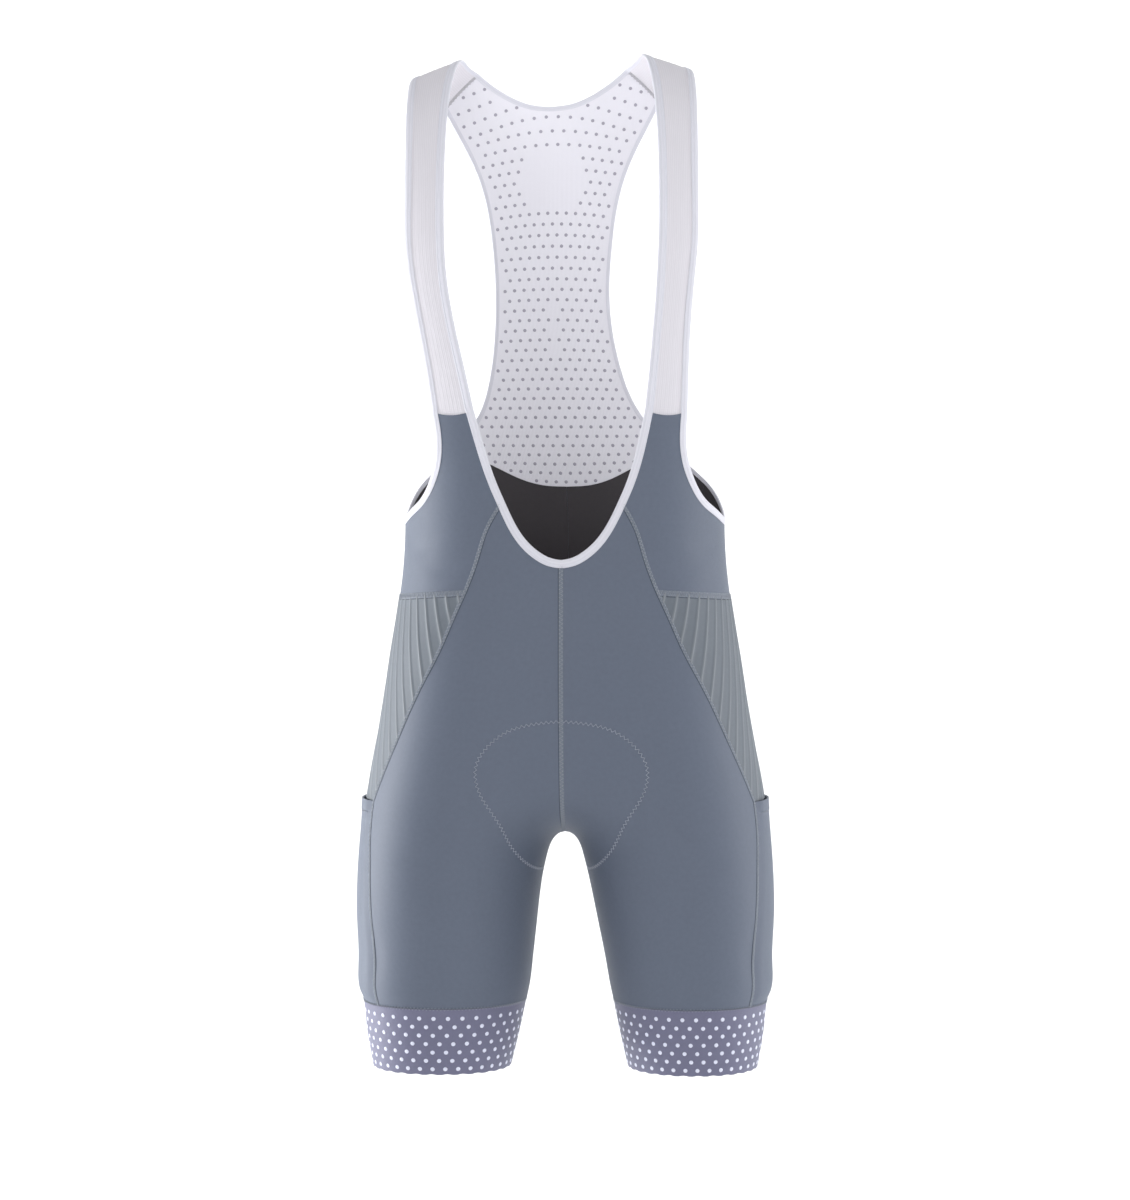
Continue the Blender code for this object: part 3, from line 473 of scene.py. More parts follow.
def laid(grid):
    """(points, outward directions) of a line or grid of the pattern plane, laid on the form."""
    grid = np.asarray(grid, float)
    side, z = grid[..., 0].ravel(), grid[..., 1].ravel()
    points = SECTIONS.locate(side, z)
    for _ in range(2):  # the sections are close to the form, and two steps take the points onto it
        flat = slope_of_form(points)[:, :2]
        steep = np.maximum((flat**2).sum(axis=1), LEAST_SLOPE)
        miss = 1 - form(*points.T)
        points[:, :2] += np.clip(flat * (miss / steep)[:, None], -LONGEST_STEP, LONGEST_STEP)
    outward = unit(slope_of_form(points))
    points -= outward * sunk(side, z)[:, None]
    shape = grid.shape[:-1] + (3,)
    return points.reshape(shape), outward.reshape(shape)


# ---- lines in the pattern plane, and rows of points in space ----


def through(points, count):
    """A smooth line through points, as count + 1 points evenly spaced along it."""
    points = np.asarray(points, float)
    chords = np.linalg.norm(np.diff(points, axis=0), axis=1)
    line = Curve(np.concatenate([[0], np.cumsum(chords)]), points)
    return evenly(line(np.linspace(0, line.knots[-1], 1200)), count)


def sampled(rows, length, wanted):
    """Rows of values given at distances along a line, at other distances along it."""
    return np.stack([np.interp(wanted, length, values) for values in rows.T], axis=1)


def evenly(line, count):
    """A line as count + 1 points evenly spaced along it."""
    length = run_of(line)
    return sampled(line, length, np.linspace(0, length[-1], count + 1))


def run_of(line):
    """The distance along a line to each of its points."""
    return np.concatenate([[0], np.cumsum(np.linalg.norm(np.diff(line, axis=0), axis=1))])


def inset(line, distance):
    """The line moved by a distance to its left, seen with side to the right and z up."""
    along = np.gradient(line, axis=0)
    return line + distance * unit(np.stack([-along[:, 1], along[:, 0]], axis=1))


def level(z, from_side, to_side, count, dip=0.0):
    """A line at a height. Its middle may hang lower."""
    side = np.linspace(from_side, to_side, count + 1)
    return np.stack([side, z - dip * bulge(even_shares(count))], axis=1)


def centre_line(heights, face, off=0.0):
    """Pattern points at heights, a distance off the centre plane or inseam."""
    return np.stack([girth(heights, face) - face * off, heights], axis=1)


def join(*lines):
    """Lines end to end as one; each but the first leaves out its first point."""
    return np.concatenate([lines[0]] + [line[1:] for line in lines[1:]])


def at(line, shares):
    """Points at shares of a line, counted by its points."""
    place = np.clip(shares, 0, 1) * (len(line) - 1)
    i = np.minimum(place.astype(int), len(line) - 2)
    t = (place - i)[:, None]
    return line[i] * (1 - t) + line[i + 1] * t


def even_shares(count):
    """count + 1 shares from 0 to 1."""
    return np.linspace(0, 1, count + 1)


def patch(bottom, top, start, end, u, v):
    """A Coons patch: rows run from bottom to top, columns from start to end.

    u and v are the shares of the lines at which its points lie, or how many even stretches there are.
    """
    u, v = (even_shares(shares) if isinstance(shares, int) else shares for shares in (u, v))
    low, high = at(bottom, u)[None], at(top, u)[None]
    near, far = at(start, v)[:, None], at(end, v)[:, None]
    u, v = u[None, :, None], v[:, None, None]
    ruled = (1 - v) * low + v * high + (1 - u) * near + u * far
    corners = (1 - v) * ((1 - u) * bottom[0] + u * bottom[-1]) + v * ((1 - u) * top[0] + u * top[-1])
    return ruled - corners


def bulge(t):
    """0 at both ends of 0 to 1, and 1 in the middle."""
    return 4 * t * (1 - t)


def smooth(t):
    """From 0 to 1 with level ends."""
    return t * t * (3 - 2 * t)


def middle_edge(face, top_z):
    """A panel's edge from the top of the centre seam down to the crotch and on down the inseam."""

    def from_crotch(far_z, count):
        heights = CROTCH_Z + (far_z - CROTCH_Z) * np.linspace(0, 1, 400) ** 2
        length = run_of(laid(centre_line(heights, face, GAP / 2))[0])
        heights = np.interp(np.linspace(0, length[-1], count + 1), length, heights)
        return centre_line(heights, face, GAP / 2)

    return join(from_crotch(top_z, N_RISE)[::-1], from_crotch(BAND_TOP_Z + GAP / 2, N_INSEAM))


# The garment's edges, seen with the cloth on their left, and the lines in the bindings where panels end
BOUND = 0.36 * BINDING  # from the garment's edge in to the panel's, inside the fold
NECK_EDGE = join(
    through(seen(NECK[: NECK_AT_DIAGONAL + 1], 1), N_NECK_LOW),
    through(seen(NECK[NECK_AT_DIAGONAL:], 1), N_NECK_HIGH),
)
ARM_EDGE = join(
    through(seen(ARMHOLE_FRONT, 1) + [(0, ARMHOLE_LOW_Z)] + seen(ARMHOLE_BACK, -1), N_ARMHOLE),
    through(seen(SEAT_EDGE, -1), N_SEAT_EDGE),
    through(seen(MESH_EDGE, -1), N_MESH_EDGE),
)
SCOOP_EDGE = through(seen(SCOOP, -1), N_SCOOP)[::-1]
NECK_BOUND, ARM_BOUND, SCOOP_BOUND = (inset(e, BOUND) for e in (NECK_EDGE, ARM_EDGE, SCOOP_EDGE))
SEAT_CORNER = N_ARMHOLE + N_SEAT_EDGE  # where the mesh panel's seam reaches the armhole's edge

# The seams
DIAGONAL_LINE = join(
    through([NECK_BOUND[N_NECK_LOW]] + seen(DIAGONAL_HIGH, 1), N_BIB_WIDE),
    through(seen(DIAGONAL_LOW, 1), N_DIAGONAL),
)
THIGH_FRONT_LINE = through(seen(THIGH_FRONT, 1), N_INSEAM)
BACK_LINE = join(
    through([ARM_BOUND[N_ARMHOLE]] + BACK_HIGH, N_BIB_WIDE),
    through(BACK_LOW, N_DIAGONAL),
)
THIGH_BACK_LINE = through(THIGH_BACK, N_INSEAM)
MESH_SEAM_LINE = through(seen(MESH_SEAM[:-1], -1) + [ARM_BOUND[SEAT_CORNER]], N_SCOOP + N_STRAP_SEAM)


# ---- the panels' grids in the pattern plane ----


def middle_panel(face, top, seam, divisions):
    """From the centre plane and the inseam out to the seam of the side panels."""
    middle = middle_edge(face, top[0][1])
    top[0], top[-1], seam[-1][1] = middle[0], seam[0], middle[-1][1]
    bottom = level(middle[-1][1], middle[-1][0], seam[-1][0], 1)
    return patch(bottom, top, middle[::-1], seam[::-1], *divisions)


def front_grid():
    seam = join(DIAGONAL_LINE, THIGH_FRONT_LINE) + (GAP / 2, 0)
    return middle_panel(1, NECK_BOUND[: N_NECK_LOW + 1].copy(), seam, FRONT_GRID)


def seat_grid():
    seam = join(BACK_LINE, THIGH_BACK_LINE) - (GAP / 2, 0)
    top = join(MESH_SEAM_LINE - (0, GAP / 2), ARM_BOUND[N_ARMHOLE : SEAT_CORNER + 1][::-1])
    return middle_panel(-1, top, seam, SEAT_GRID)


def bib_side_grid():
    """From the strap round under the arm: rows run from the neck and waist seams to the armhole."""
    back = BACK_LINE[: N_BIB_WIDE + 1][::-1] + (GAP / 2, 0)
    front = DIAGONAL_LINE[: N_BIB_WIDE + 1] - (GAP / 2, 0)
    low = level(WAIST_SEAM_Z + GAP / 2, front[-1][0], back[0][0], N_WAIST_SEAM, WAIST_DIP)
    near = join(NECK_BOUND[N_NECK_LOW:][::-1], front, low)
    near[N_NECK_HIGH] = front[0]
    far = ARM_BOUND[: N_ARMHOLE + 1].copy()
    near[0, 1] = far[0, 1] = ROOT_Z - GAP / 2
    back[0], far[-1] = near[-1], back[-1]
    root = level(ROOT_Z - GAP / 2, near[0][0], far[0][0], N_BIB_WIDE, ROOT_DIP)
    return patch(near, far, root, back, *BIB_SIDE_GRID)


# Where across a rib's width the columns of its grid lie, from hollow to hollow, and its height there
RibColumn = namedtuple("RibColumn", "share rise")
RIB_COLUMNS = table(
    RibColumn,
    (0.00, 0.00), (0.22, 0.00), (0.37, 0.08), (0.44, 0.70), (0.50, 1.00), (0.56, 0.70),
    (0.63, 0.08), (0.78, 0.00),
)


def ribbed_grid():
    """(grid, rise): columns follow the ribs, from the waist seam to the pocket or the diagonal seam."""
    diagonal = DIAGONAL_LINE[N_BIB_WIDE:][::-1] - (GAP / 2, 0)
    back = BACK_LINE[N_BIB_WIDE:][::-1] + (GAP / 2, 0)
    foot = level(POCKET_TOP_Z + GAP / 2, back[0][0], diagonal[0][0], (RIBS - RIBS_CUT) * FINE)
    back[0], diagonal[0] = foot[0], foot[-1]
    back[-1, 1] = diagonal[-1, 1] = WAIST_SEAM_Z - GAP / 2
    top = level(WAIST_SEAM_Z - GAP / 2, back[-1][0], diagonal[-1][0], RIBS * FINE, WAIST_DIP)
    corner = np.repeat(top[-1:], len(back), axis=0)
    ribs = [(rib + column.share, column.rise) for rib in range(RIBS) for column in RIB_COLUMNS]
    place, rise = np.array(ribs + [(RIBS, 0.0)]).T
    return patch(join(foot, diagonal), top, back, corner, place / RIBS, RIBBED_ROWS), RIB_HEIGHT * rise


def thigh_grid():
    """The side of the thigh, from the pocket's top down to the leg band, with close rows at its hem."""
    top_z, bottom_z = POCKET_TOP_Z - GAP / 2, BAND_TOP_Z + GAP / 2
    hem = 1 - POCKET_HEM / (top_z - bottom_z)
    above = hem + 2 * HEM_STEP
    close = above + (1 - above) * even_shares(HEM_ROWS)
    rows = np.concatenate([hem * even_shares(THIGH_ROWS), [hem + HEM_STEP], close])
    front, back = THIGH_FRONT_LINE[::-1] - (GAP / 2, 0), THIGH_BACK_LINE[::-1] + (GAP / 2, 0)
    for edge in (front, back):
        edge[0, 1], edge[-1, 1] = bottom_z, top_z
    bottom, top = (level(z, back[end][0], front[end][0], 1) for z, end in ((bottom_z, 0), (top_z, -1)))
    return patch(bottom, top, back, front, THIGH_COLUMNS, rows)


def pocket_layers(side, z, back, front):
    """(tuck, layer, mouth) of the pocket at pattern points, between its back and front seams.

    tuck: 0 at its seams and 1 from a few millimetres in; layer: the thickness of the pocket and of the
    leg under it; mouth: how far the pocket stands off the leg.
    """
    near = np.minimum(np.minimum(side - back, front - side), z - BAND_TOP_Z)
    tuck = smooth(np.clip(near / POCKET_TUCK, 0, 1))
    mouth = POCKET_MOUTH_LIFT * np.clip(1 - (POCKET_TOP_Z - z) / POCKET_MOUTH_DEPTH, 0, 1) ** 2 * tuck
    return tuck, TUCKED_CLOTH + (CLOTH - TUCKED_CLOTH) * tuck, mouth


def band_grid():
    """Round the leg from inseam to inseam: the last column meets the first. The hem is scalloped."""
    columns, rows = BAND_GRID
    heights = np.linspace(HEM_Z, BAND_TOP_Z - GAP / 2, rows + 1)
    grid = np.array([level(z, girth(z, -1), girth(z, 1), columns)[:-1] for z in heights])
    scallop = SCALLOP * np.sin(np.arange(columns) * math.pi / SCALLOP_COLUMNS) ** 2
    grid[0, :, 1] += scallop
    grid[1, :, 1] += scallop / 3
    return grid


def mesh_grid():
    """The left half of the mesh panel, from the centre back to the armhole and the strap's seam."""
    low, scoop = MESH_SEAM_LINE + (0, GAP / 2), SCOOP_BOUND[::-1].copy()
    armhole = ARM_BOUND[SEAT_CORNER:].copy()
    armhole[0] = low[-1]
    middle = centre_line(np.linspace(low[0][1], scoop[0][1], N_MESH_EDGE + 1), -1)
    low[0], scoop[0] = middle[0], middle[-1]
    strap_seam = np.linspace(scoop[-1], armhole[-1], N_STRAP_SEAM + 1)
    return patch(low, join(scoop, strap_seam), middle, armhole, *MESH_GRID)


# ---- meshes ----


def grown(change, z):
    """How much of a change there is at a height."""
    return change.amount * smooth(np.clip((z - change.from_z) / (change.to_z - change.from_z), 0, 1))


def posed(points):
    """Points of the mirror-symmetric form, moved to where the garment's pose has them."""
    x, y, z = np.moveaxis(points, -1, 0)
    twist, inner = grown(TWIST, z), 1 - np.minimum(np.abs(x) / RINGS[-1].outer, 1)
    moved_x = x + grown(LEAN, z) - twist * y + grown(SWING, z) * inner
    return np.stack([moved_x, y + twist * x, z + grown(TILT, z) * x], axis=-1)


def on_hand(points, hand):
    """Points of the left half or its flat cloth, or their mirror images where hand is -1."""
    return points * np.array([hand, 1, 1])[: points.shape[-1]]


def placed(name, data):
    """A new object in the scene, of a mesh, a light or a camera."""
    obj = bpy.data.objects.new(name, data)
    bpy.context.scene.collection.objects.link(obj)
    return obj


class Builder:
    """Gathers points and faces of one piece.

    cloth is each point's place on the flat cloth, in metres; rise is how far a rib stands out there, and
    the ribbed material also paints a highlight on the crests by it.
    """

    def __init__(self):
        self.points, self.cloth, self.faces, self.finish = [], [], [], []
        self.count = 0

    def add(self, points, cloth, faces, finish=0, rise=0.0):
        points, cloth = np.reshape(points, (-1, 3)), np.reshape(cloth, (-1, 2))
        self.points.append(points)
        self.cloth.append(np.c_[cloth, np.broadcast_to(rise, len(cloth))])
        self.faces += (np.asarray(faces) + self.count).tolist()
        self.finish += [finish] * len(faces)
        self.count += len(points)

    def piece(self, name, slot, materials):
        mesh = bpy.data.meshes.new(name)
        mesh.from_pydata(posed(np.concatenate(self.points)).tolist(), [], self.faces)
        cloth = mesh.attributes.new("cloth", "FLOAT_VECTOR", "POINT")
        cloth.data.foreach_set("vector", np.concatenate(self.cloth).ravel())
        mesh.polygons.foreach_set("material_index", self.finish)
        for material in materials:
            mesh.materials.append(material)
        mesh.shade_smooth()
        mesh.set_sharp_from_angle(angle=SHARP_EDGE)
        obj = placed(name, mesh)
        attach(obj, "root")
        return obj


def grid_faces(rows, columns, closed=False, looped=False, flip=False):
    """Quads of a grid of points. Closed: its last column meets the first; looped: its last row does."""
    i, j = np.arange(rows if looped else rows - 1), np.arange(columns if closed else columns - 1)
    i, j = np.meshgrid(i, j, indexing="ij")
    k, n = (j + 1) % columns, (i + 1) % rows
    quads = np.stack([i * columns + j, i * columns + k, n * columns + k, n * columns + j], axis=-1)
    return quads.reshape(-1, 4)[:, :: -1 if flip else 1]


def cloth_grid(across, down):
    """The flat places of a grid of points, from those of its columns and of its rows."""
    return np.stack(np.broadcast_arrays(across[None], down[:, None]), axis=-1)


def wall(name, slot, materials, cloth, inner, outer, hand, closed=False, rise=0.0):
    """A wall of cloth between two grids. The outside has the first material, the inside the last."""
    rows, columns = inner.shape[:2]
    mirrored = hand < 0
    flat, rise = on_hand(cloth, hand), np.broadcast_to(rise, (rows, columns)).ravel()
    builder = Builder()
    outside, inside = (grid_faces(rows, columns, closed, flip=f) for f in (not mirrored, mirrored))
    builder.add(on_hand(outer, hand), flat, outside, 0, rise)
    builder.add(on_hand(inner, hand), flat, inside, len(materials) - 1)
    index = np.arange(rows * columns).reshape(rows, columns)
    borders = [index[0], index[-1, ::-1]]
    if not closed:
        borders = [np.concatenate([index[0, :-1], index[:-1, -1], index[-1, :0:-1], index[:0:-1, 0]])]
    for border in borders:
        ahead = np.roll(border, -1)
        rim = np.stack([border, ahead, ahead + index.size, border + index.size], axis=1)
        builder.faces += (rim if mirrored else rim[:, ::-1]).tolist()
        builder.finish += [0] * len(rim)
    return builder.piece(name, slot, materials)


CENTRE_GAP = 0.00006  # between the halves where they meet on the centre plane


def lifted(points, outward, lift):
    """Points of the form, lifted off it, and kept on their own side of the centre plane."""
    raised = points + outward * np.broadcast_to(lift, points.shape[:-1])[..., None]
    raised[..., 0] = np.maximum(raised[..., 0], CENTRE_GAP)
    return raised


def panel(name, slot, materials, grid, hand, base=0.0, thick=CLOTH, raised=0.0, closed=False):
    """A panel cut in the pattern plane. base lifts it off the form; raised adds to its outer points."""
    points, outward = laid(grid)
    inner = lifted(points, outward, base)
    outer = lifted(points, outward, base + thick + raised)
    piece = wall(name, slot, materials, grid, inner, outer, hand, closed, raised)
    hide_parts(name.replace("_shell", ""))
    return piece, points


# Knitted cloth is cut narrower than it is worn, and stretches across its width.
KNIT_STRETCH = 1.10


def declare_sheet(points, stretch=KNIT_STRETCH):
    """Works out the size to which a panel was cut, from its laid grid of points, but keeps none of it."""
    across = np.linalg.norm(np.diff(points, axis=1), axis=2).sum(axis=1).max() / stretch
    down = np.linalg.norm(np.diff(points, axis=0), axis=2).sum(axis=0).max()
    a, b = np.diff(points, axis=1)[:-1], np.diff(points, axis=0)[:, :-1]
    area = np.linalg.norm(np.cross(a, b), axis=2).sum() / stretch
    width, length = round(float(across), 3), round(float(down), 3)
    area = min(float(area), width * length)


# ---- materials ----


MIX_FACTOR, MIX_FIRST, MIX_SECOND, MIX_RESULT = 0, 6, 7, 2  # a Mix node's sockets for colours
# how sharply the painted highlight on the ribs' crests narrows towards their tops
CREST_HIGHLIGHT_SHARPNESS = 1.5
LOOP_HEIGHT = 0.00022
LOOP_SLANT = 1.6  # how far the legs of a loop lean, as a phase of the rows
PICK = 0.0009  # between the cross threads of the woven elastic
SHEEN_ROUGHNESS, SPECULAR = 0.4, 0.30
MOTTLE, FIBRE = (260.0, 3.0), (900.0, 2.0)  # scale and detail of the unevenness of knit and of thread
THREAD_SHADES = 0.94, 1.06


class Finish:
    """Builds a Principled material whose pattern follows the flat cloth."""

    def __init__(self, name, colour, roughness, sheen=0.0, sheen_tint=(1, 1, 1, 1)):
        self.material = bpy.data.materials.new(name)
        self.material.use_nodes = True
        self.nodes = self.material.node_tree.nodes
        self.links = self.material.node_tree.links
        self.surface = self.nodes["Principled BSDF"]
        self.surface.inputs["Base Color"].default_value = colour
        self.surface.inputs["Roughness"].default_value = roughness
        self.surface.inputs["Sheen Weight"].default_value = sheen
        self.surface.inputs["Sheen Roughness"].default_value = SHEEN_ROUGHNESS
        self.surface.inputs["Sheen Tint"].default_value = sheen_tint
        self.surface.inputs["Specular IOR Level"].default_value = SPECULAR
        self.colour = colour
        self.cloth = self.node("ShaderNodeAttribute", attribute_name="cloth").outputs["Vector"]

    def node(self, kind, **settings):
        made = self.nodes.new(kind)
        for key, value in settings.items():
            setattr(made, key, value)
        return made

    def feed(self, source, target):
        self.links.new(source, target)

    def math(self, operation, *values):
        made = self.node("ShaderNodeMath", operation=operation)
        for value, socket in zip(values, made.inputs):
            if isinstance(value, (int, float)):
                socket.default_value = value
            else:
                self.feed(value, socket)
        return made.outputs[0]

    def scaled(self, value, factor, plus=None):
        """A value times a factor, and plus another value."""
        product = self.math("MULTIPLY", value, factor)
        return product if plus is None else self.math("ADD", product, plus)

    def axis(self, name):
        split = self.node("ShaderNodeSeparateXYZ")
        self.feed(self.cloth, split.inputs[0])
        return split.outputs[name]

    def wave(self, coordinate, period, phase=None):
        """0 to 1 and back over each period of a coordinate in metres."""
        angle = self.scaled(coordinate, 2 * math.pi / period, phase)
        return self.scaled(self.math("SINE", angle), 0.5, 0.5)

    def noise(self, scale, detail):
        made = self.node("ShaderNodeTexNoise")
        made.inputs["Scale"].default_value = scale
        made.inputs["Detail"].default_value = detail
        self.feed(self.cloth, made.inputs["Vector"])
        return made.outputs["Fac"]

    def tint(self, share, low, high):
        """Colours the cloth between two shades of its colour, by a share from 0 to 1."""
        shades = [[c * shade for c in self.colour[:3]] + [1] for shade in (low, high)]
        self.feed(self.mixed(share, *shades), self.surface.inputs["Base Color"])

    def mixed(self, share, first, second):
        """A colour between two others, each a colour or an output."""
        mix = self.node("ShaderNodeMix", data_type="RGBA")
        self.feed(share, mix.inputs[MIX_FACTOR])
        for colour, socket in ((first, MIX_FIRST), (second, MIX_SECOND)):
            if isinstance(colour, (list, tuple)):
                mix.inputs[socket].default_value = colour
            else:
                self.feed(colour, mix.inputs[socket])
        return mix.outputs[MIX_RESULT]

    def ridge(self, colour):
        """Painted highlight: a lighter colour on the crests of the ribs, by how far they rise, over what
        the surface has.
        """
        base = self.surface.inputs["Base Color"].links[0].from_socket
        share = self.math("POWER", self.math("DIVIDE", self.axis("Z"), RIB_HEIGHT), CREST_HIGHLIGHT_SHARPNESS)
        self.feed(self.mixed(share, base, colour), self.surface.inputs["Base Color"])

    def bump(self, height, strength, distance):
        made = self.node("ShaderNodeBump")
        made.inputs["Strength"].default_value = strength
        made.inputs["Distance"].default_value = distance
        self.feed(height, made.inputs["Height"])
        self.feed(made.outputs["Normal"], self.surface.inputs["Normal"])


def knit(
    name, colour, roughness, wale, course, strength=0.35, shades=(0.88, 1.12), crest_highlight=None, **sheen
):
    """Jersey: columns of loops, wale apart, in rows, course apart. crest_highlight: the colour of the
    painted highlight on its ribs' tops.
    """
    finish = Finish(name, colour, roughness, **sheen)
    across, down = finish.axis("X"), finish.axis("Y")
    slant = finish.scaled(finish.math("SINE", finish.scaled(across, math.pi / wale)), LOOP_SLANT)
    rows = finish.wave(down, course, slant)
    loops = finish.math("MULTIPLY", finish.wave(across, wale), finish.scaled(rows, 0.7, 0.3))
    finish.tint(finish.scaled(loops, 0.5, finish.scaled(finish.noise(*MOTTLE), 0.5)), *shades)
    if crest_highlight:
        finish.ridge(crest_highlight)
    finish.bump(loops, strength, LOOP_HEIGHT)
    return finish.material


def lengthwise(name, colour, roughness, period, strength=0.4, shades=(0.95, 1.03), **sheen):
    """Woven elastic, with fine cords along its length."""
    finish = Finish(name, colour, roughness, **sheen)
    picks = finish.scaled(finish.wave(finish.axis("Y"), PICK), 0.25)
    weave = finish.scaled(finish.wave(finish.axis("X"), period), 0.75, picks)
    finish.tint(weave, *shades)
    finish.bump(weave, strength, LOOP_HEIGHT)
    return finish.material


def plain(name, colour, roughness, **sheen):
    """Thread, print or tape, with a slight unevenness of tone."""
    finish = Finish(name, colour, roughness, **sheen)
    finish.tint(finish.noise(*FIBRE), *THREAD_SHADES)
    return finish.material


COOL = (0.80, 0.90, 0.94, 1)
GREY = knit("grey knit", (0.128, 0.152, 0.205, 1), 0.55, 0.0009, 0.0008, sheen=0.05, sheen_tint=COOL)
# The ribs' crests are painted a lighter colour: a painted highlight where they catch the light.
RIBBED = knit(
    "ribbed knit", (0.150, 0.172, 0.202, 1), 0.58, 0.0011, 0.0008, crest_highlight=(0.235, 0.255, 0.282, 1),
    sheen=0.08, sheen_tint=COOL,
)
# Painted shade: the inner faces of the knitted panels and leg bands are coloured near black, darker than
# the knit outside, for the shade inside the garment.
INSIDE_SHADE = knit("knit inside in painted shade", (0.062, 0.056, 0.062, 1), 0.85, 0.0009, 0.0008, sheen=0.03)
BAND = knit("leg band", (0.168, 0.170, 0.258, 1), 0.52, 0.0010, 0.0009, sheen=0.12, sheen_tint=COOL)
MESH = knit(
    "white mesh", (0.870, 0.860, 0.925, 1), 0.65, 0.0012, 0.0012, strength=0.5, shades=(0.97, 1.01)
)
ELASTIC = lengthwise("white elastic", (0.73, 0.71, 0.76, 1), 0.55, 0.0018, sheen=0.10)
BINDING_WHITE = lengthwise("white binding", (0.72, 0.72, 0.79, 1), 0.55, 0.0024, sheen=0.10)
SEAM = knit("flat seam", (0.205, 0.232, 0.280, 1), 0.58, 0.0007, 0.0017, strength=0.6, sheen=0.12)
# Painted shadow: a dark strip beside the flat seams, for the shade where the cloth dips into them.
SEAM_SHADE = plain("painted groove shadow", (0.070, 0.084, 0.110, 1), 0.8)
SEAM_PALE = plain("pale seam", (0.56, 0.55, 0.59, 1), 0.6)
GREY_THREAD = plain("grey thread", (0.350, 0.375, 0.430, 1), 0.5, sheen=0.10)
PAD_THREAD = plain("pad thread", (0.380, 0.405, 0.470, 1), 0.5, sheen=0.10)
WHITE_THREAD = plain("white thread", (0.76, 0.76, 0.84, 1), 0.5)
SHOULDER_THREAD = plain("shoulder thread", (0.440, 0.430, 0.470, 1), 0.55)
BAND_PRINT = plain("pale dots", (0.74, 0.76, 0.90, 1), 0.40)
# Painted shade: the back panel's dots are open spots in the knit, and their grey stands for the shade seen
# through them.
MESH_DOT_SHADE = plain("grey dots", (0.400, 0.385, 0.455, 1), 0.60)


# ---- the straps ----


class Strap:
    """The strap's face as rows of points: its two edges and the outward direction at each station."""

    CROWN = 0.0016  # how far its middle stands above the straight line between its edges

    def __init__(self):
        front = [laid(seen([Spot(row.neck, row.z), Spot(row.arm, row.z)], 1))[0] for row in STRAP_FRONT]
        top = [np.reshape(row, (2, 3)) for row in STRAP_TOP]
        first = laid([NECK_EDGE[-1], ARM_EDGE[0]])[0]
        last = laid([SCOOP_EDGE[0], ARM_EDGE[-1]])[0]
        rows = np.array([first] + front + top + [last])
        self.neck, self.arm = through(rows[:, 0], N_STRAP), through(rows[:, 1], N_STRAP)
        middle = (self.neck + self.arm) / 2
        self.along = unit(np.gradient(middle, axis=0))
        self.outward = unit(np.cross(self.arm - self.neck, self.along))
        self.width = np.linalg.norm(self.arm - self.neck, axis=1)
        self.run = run_of(middle)

    def at(self, share):
        """The points at a share of the way from the neck edge to the arm edge, one for each station."""
        share = np.reshape(share, (-1, 1))
        line = self.neck * (1 - share) + self.arm * share
        return line + self.outward * bulge(share) * self.CROWN

    def share(self, distance, edge):
        """The share of its width that lies a distance in from one of its edges, square to it."""
        slope = np.cross(unit(np.gradient(edge, axis=0)), unit(self.arm - self.neck))
        return distance / (self.width * np.linalg.norm(slope, axis=1))

    def body(self, steps):
        """(points, cloth) between the bindings, with the ends drawn back from the seams."""
        near, far = self.share(BOUND, self.neck), 1 - self.share(BOUND, self.arm)
        points = np.stack([self.at(near * (1 - t) + far * t) for t in steps], axis=1)
        points[0] += self.along[0] * (GAP / 2 - ROOT_DIP * bulge(steps))[:, None]
        points[-1] += self.along[-1] * GAP
        return points, cloth_grid(steps * (self.width.mean() - 2 * BOUND), self.run)


# ---- the bindings ----

# The section of the tape, folded over the garment's edge: share of the way in from the edge, and lift
# off the form. The slot between its legs takes the edge of the panel; the inner leg is half as wide.
BindingPoint = namedtuple("BindingPoint", "share lift")
BINDING_SECTION = table(
    BindingPoint,
    (0.03, 0.0000), (0.20, -0.0003), (0.44, -0.0004), (0.50, -0.0003), (0.50, -0.0001),
    (0.16, -0.0001), (0.16, 0.0013), (1.00, 0.0013), (1.00, 0.0015), (0.94, 0.0018), (0.84, 0.0019),
    (0.78, 0.0016), (0.72, 0.0019), (0.45, 0.0021), (0.18, 0.0019), (0.05, 0.0014), (0.00, 0.0007),
)
BINDING_STITCH, BINDING_STITCH_LIFT = 0.78, 0.0017  # where its stitches run


def ribbon(edge, bound, outward_edge, outward_bound):
    """The points of a binding's section, station by station."""
    return np.stack([
        edge * (1 - share) + bound * share + (outward_edge * (1 - share) + outward_bound * share) * lift
        for share, lift in BINDING_SECTION
    ], axis=1)


def pattern_rails(line):
    """The binding's rails along an edge in the pattern plane."""
    edge, outward_edge = laid(line)
    bound, outward_bound = laid(inset(line, BINDING))
    return edge, bound, outward_edge, outward_bound


def strap_rails(strap, from_neck):
    """The binding's rails along one edge of the strap.

    They leave out its end stations, which the panels' rails have.
    """
    edge, bound = strap.at(0), strap.at(strap.share(BINDING, strap.neck))
    if not from_neck:
        edge, bound = strap.at(1), strap.at(1 - strap.share(BINDING, strap.arm))
    return tuple(rail[1:-1] for rail in (edge, bound, strap.outward, strap.outward))


def binding(name, rails):
    """A closed loop of binding."""
    stations, run = ribbon(*rails), run_of(rails[0])
    faces = grid_faces(*stations.shape[:2], closed=True, looped=True)
    if signed_volume(posed(stations.reshape(-1, 3)), faces) < 0:
        faces = faces[:, ::-1]
    builder = Builder()
    builder.add(stations, cloth_grid(BINDING * np.array(BINDING_SECTION)[:, 0], run), faces)
    piece = builder.piece(name, "white_elastic", [BINDING_WHITE])
    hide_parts(name.replace("_shell", ""))


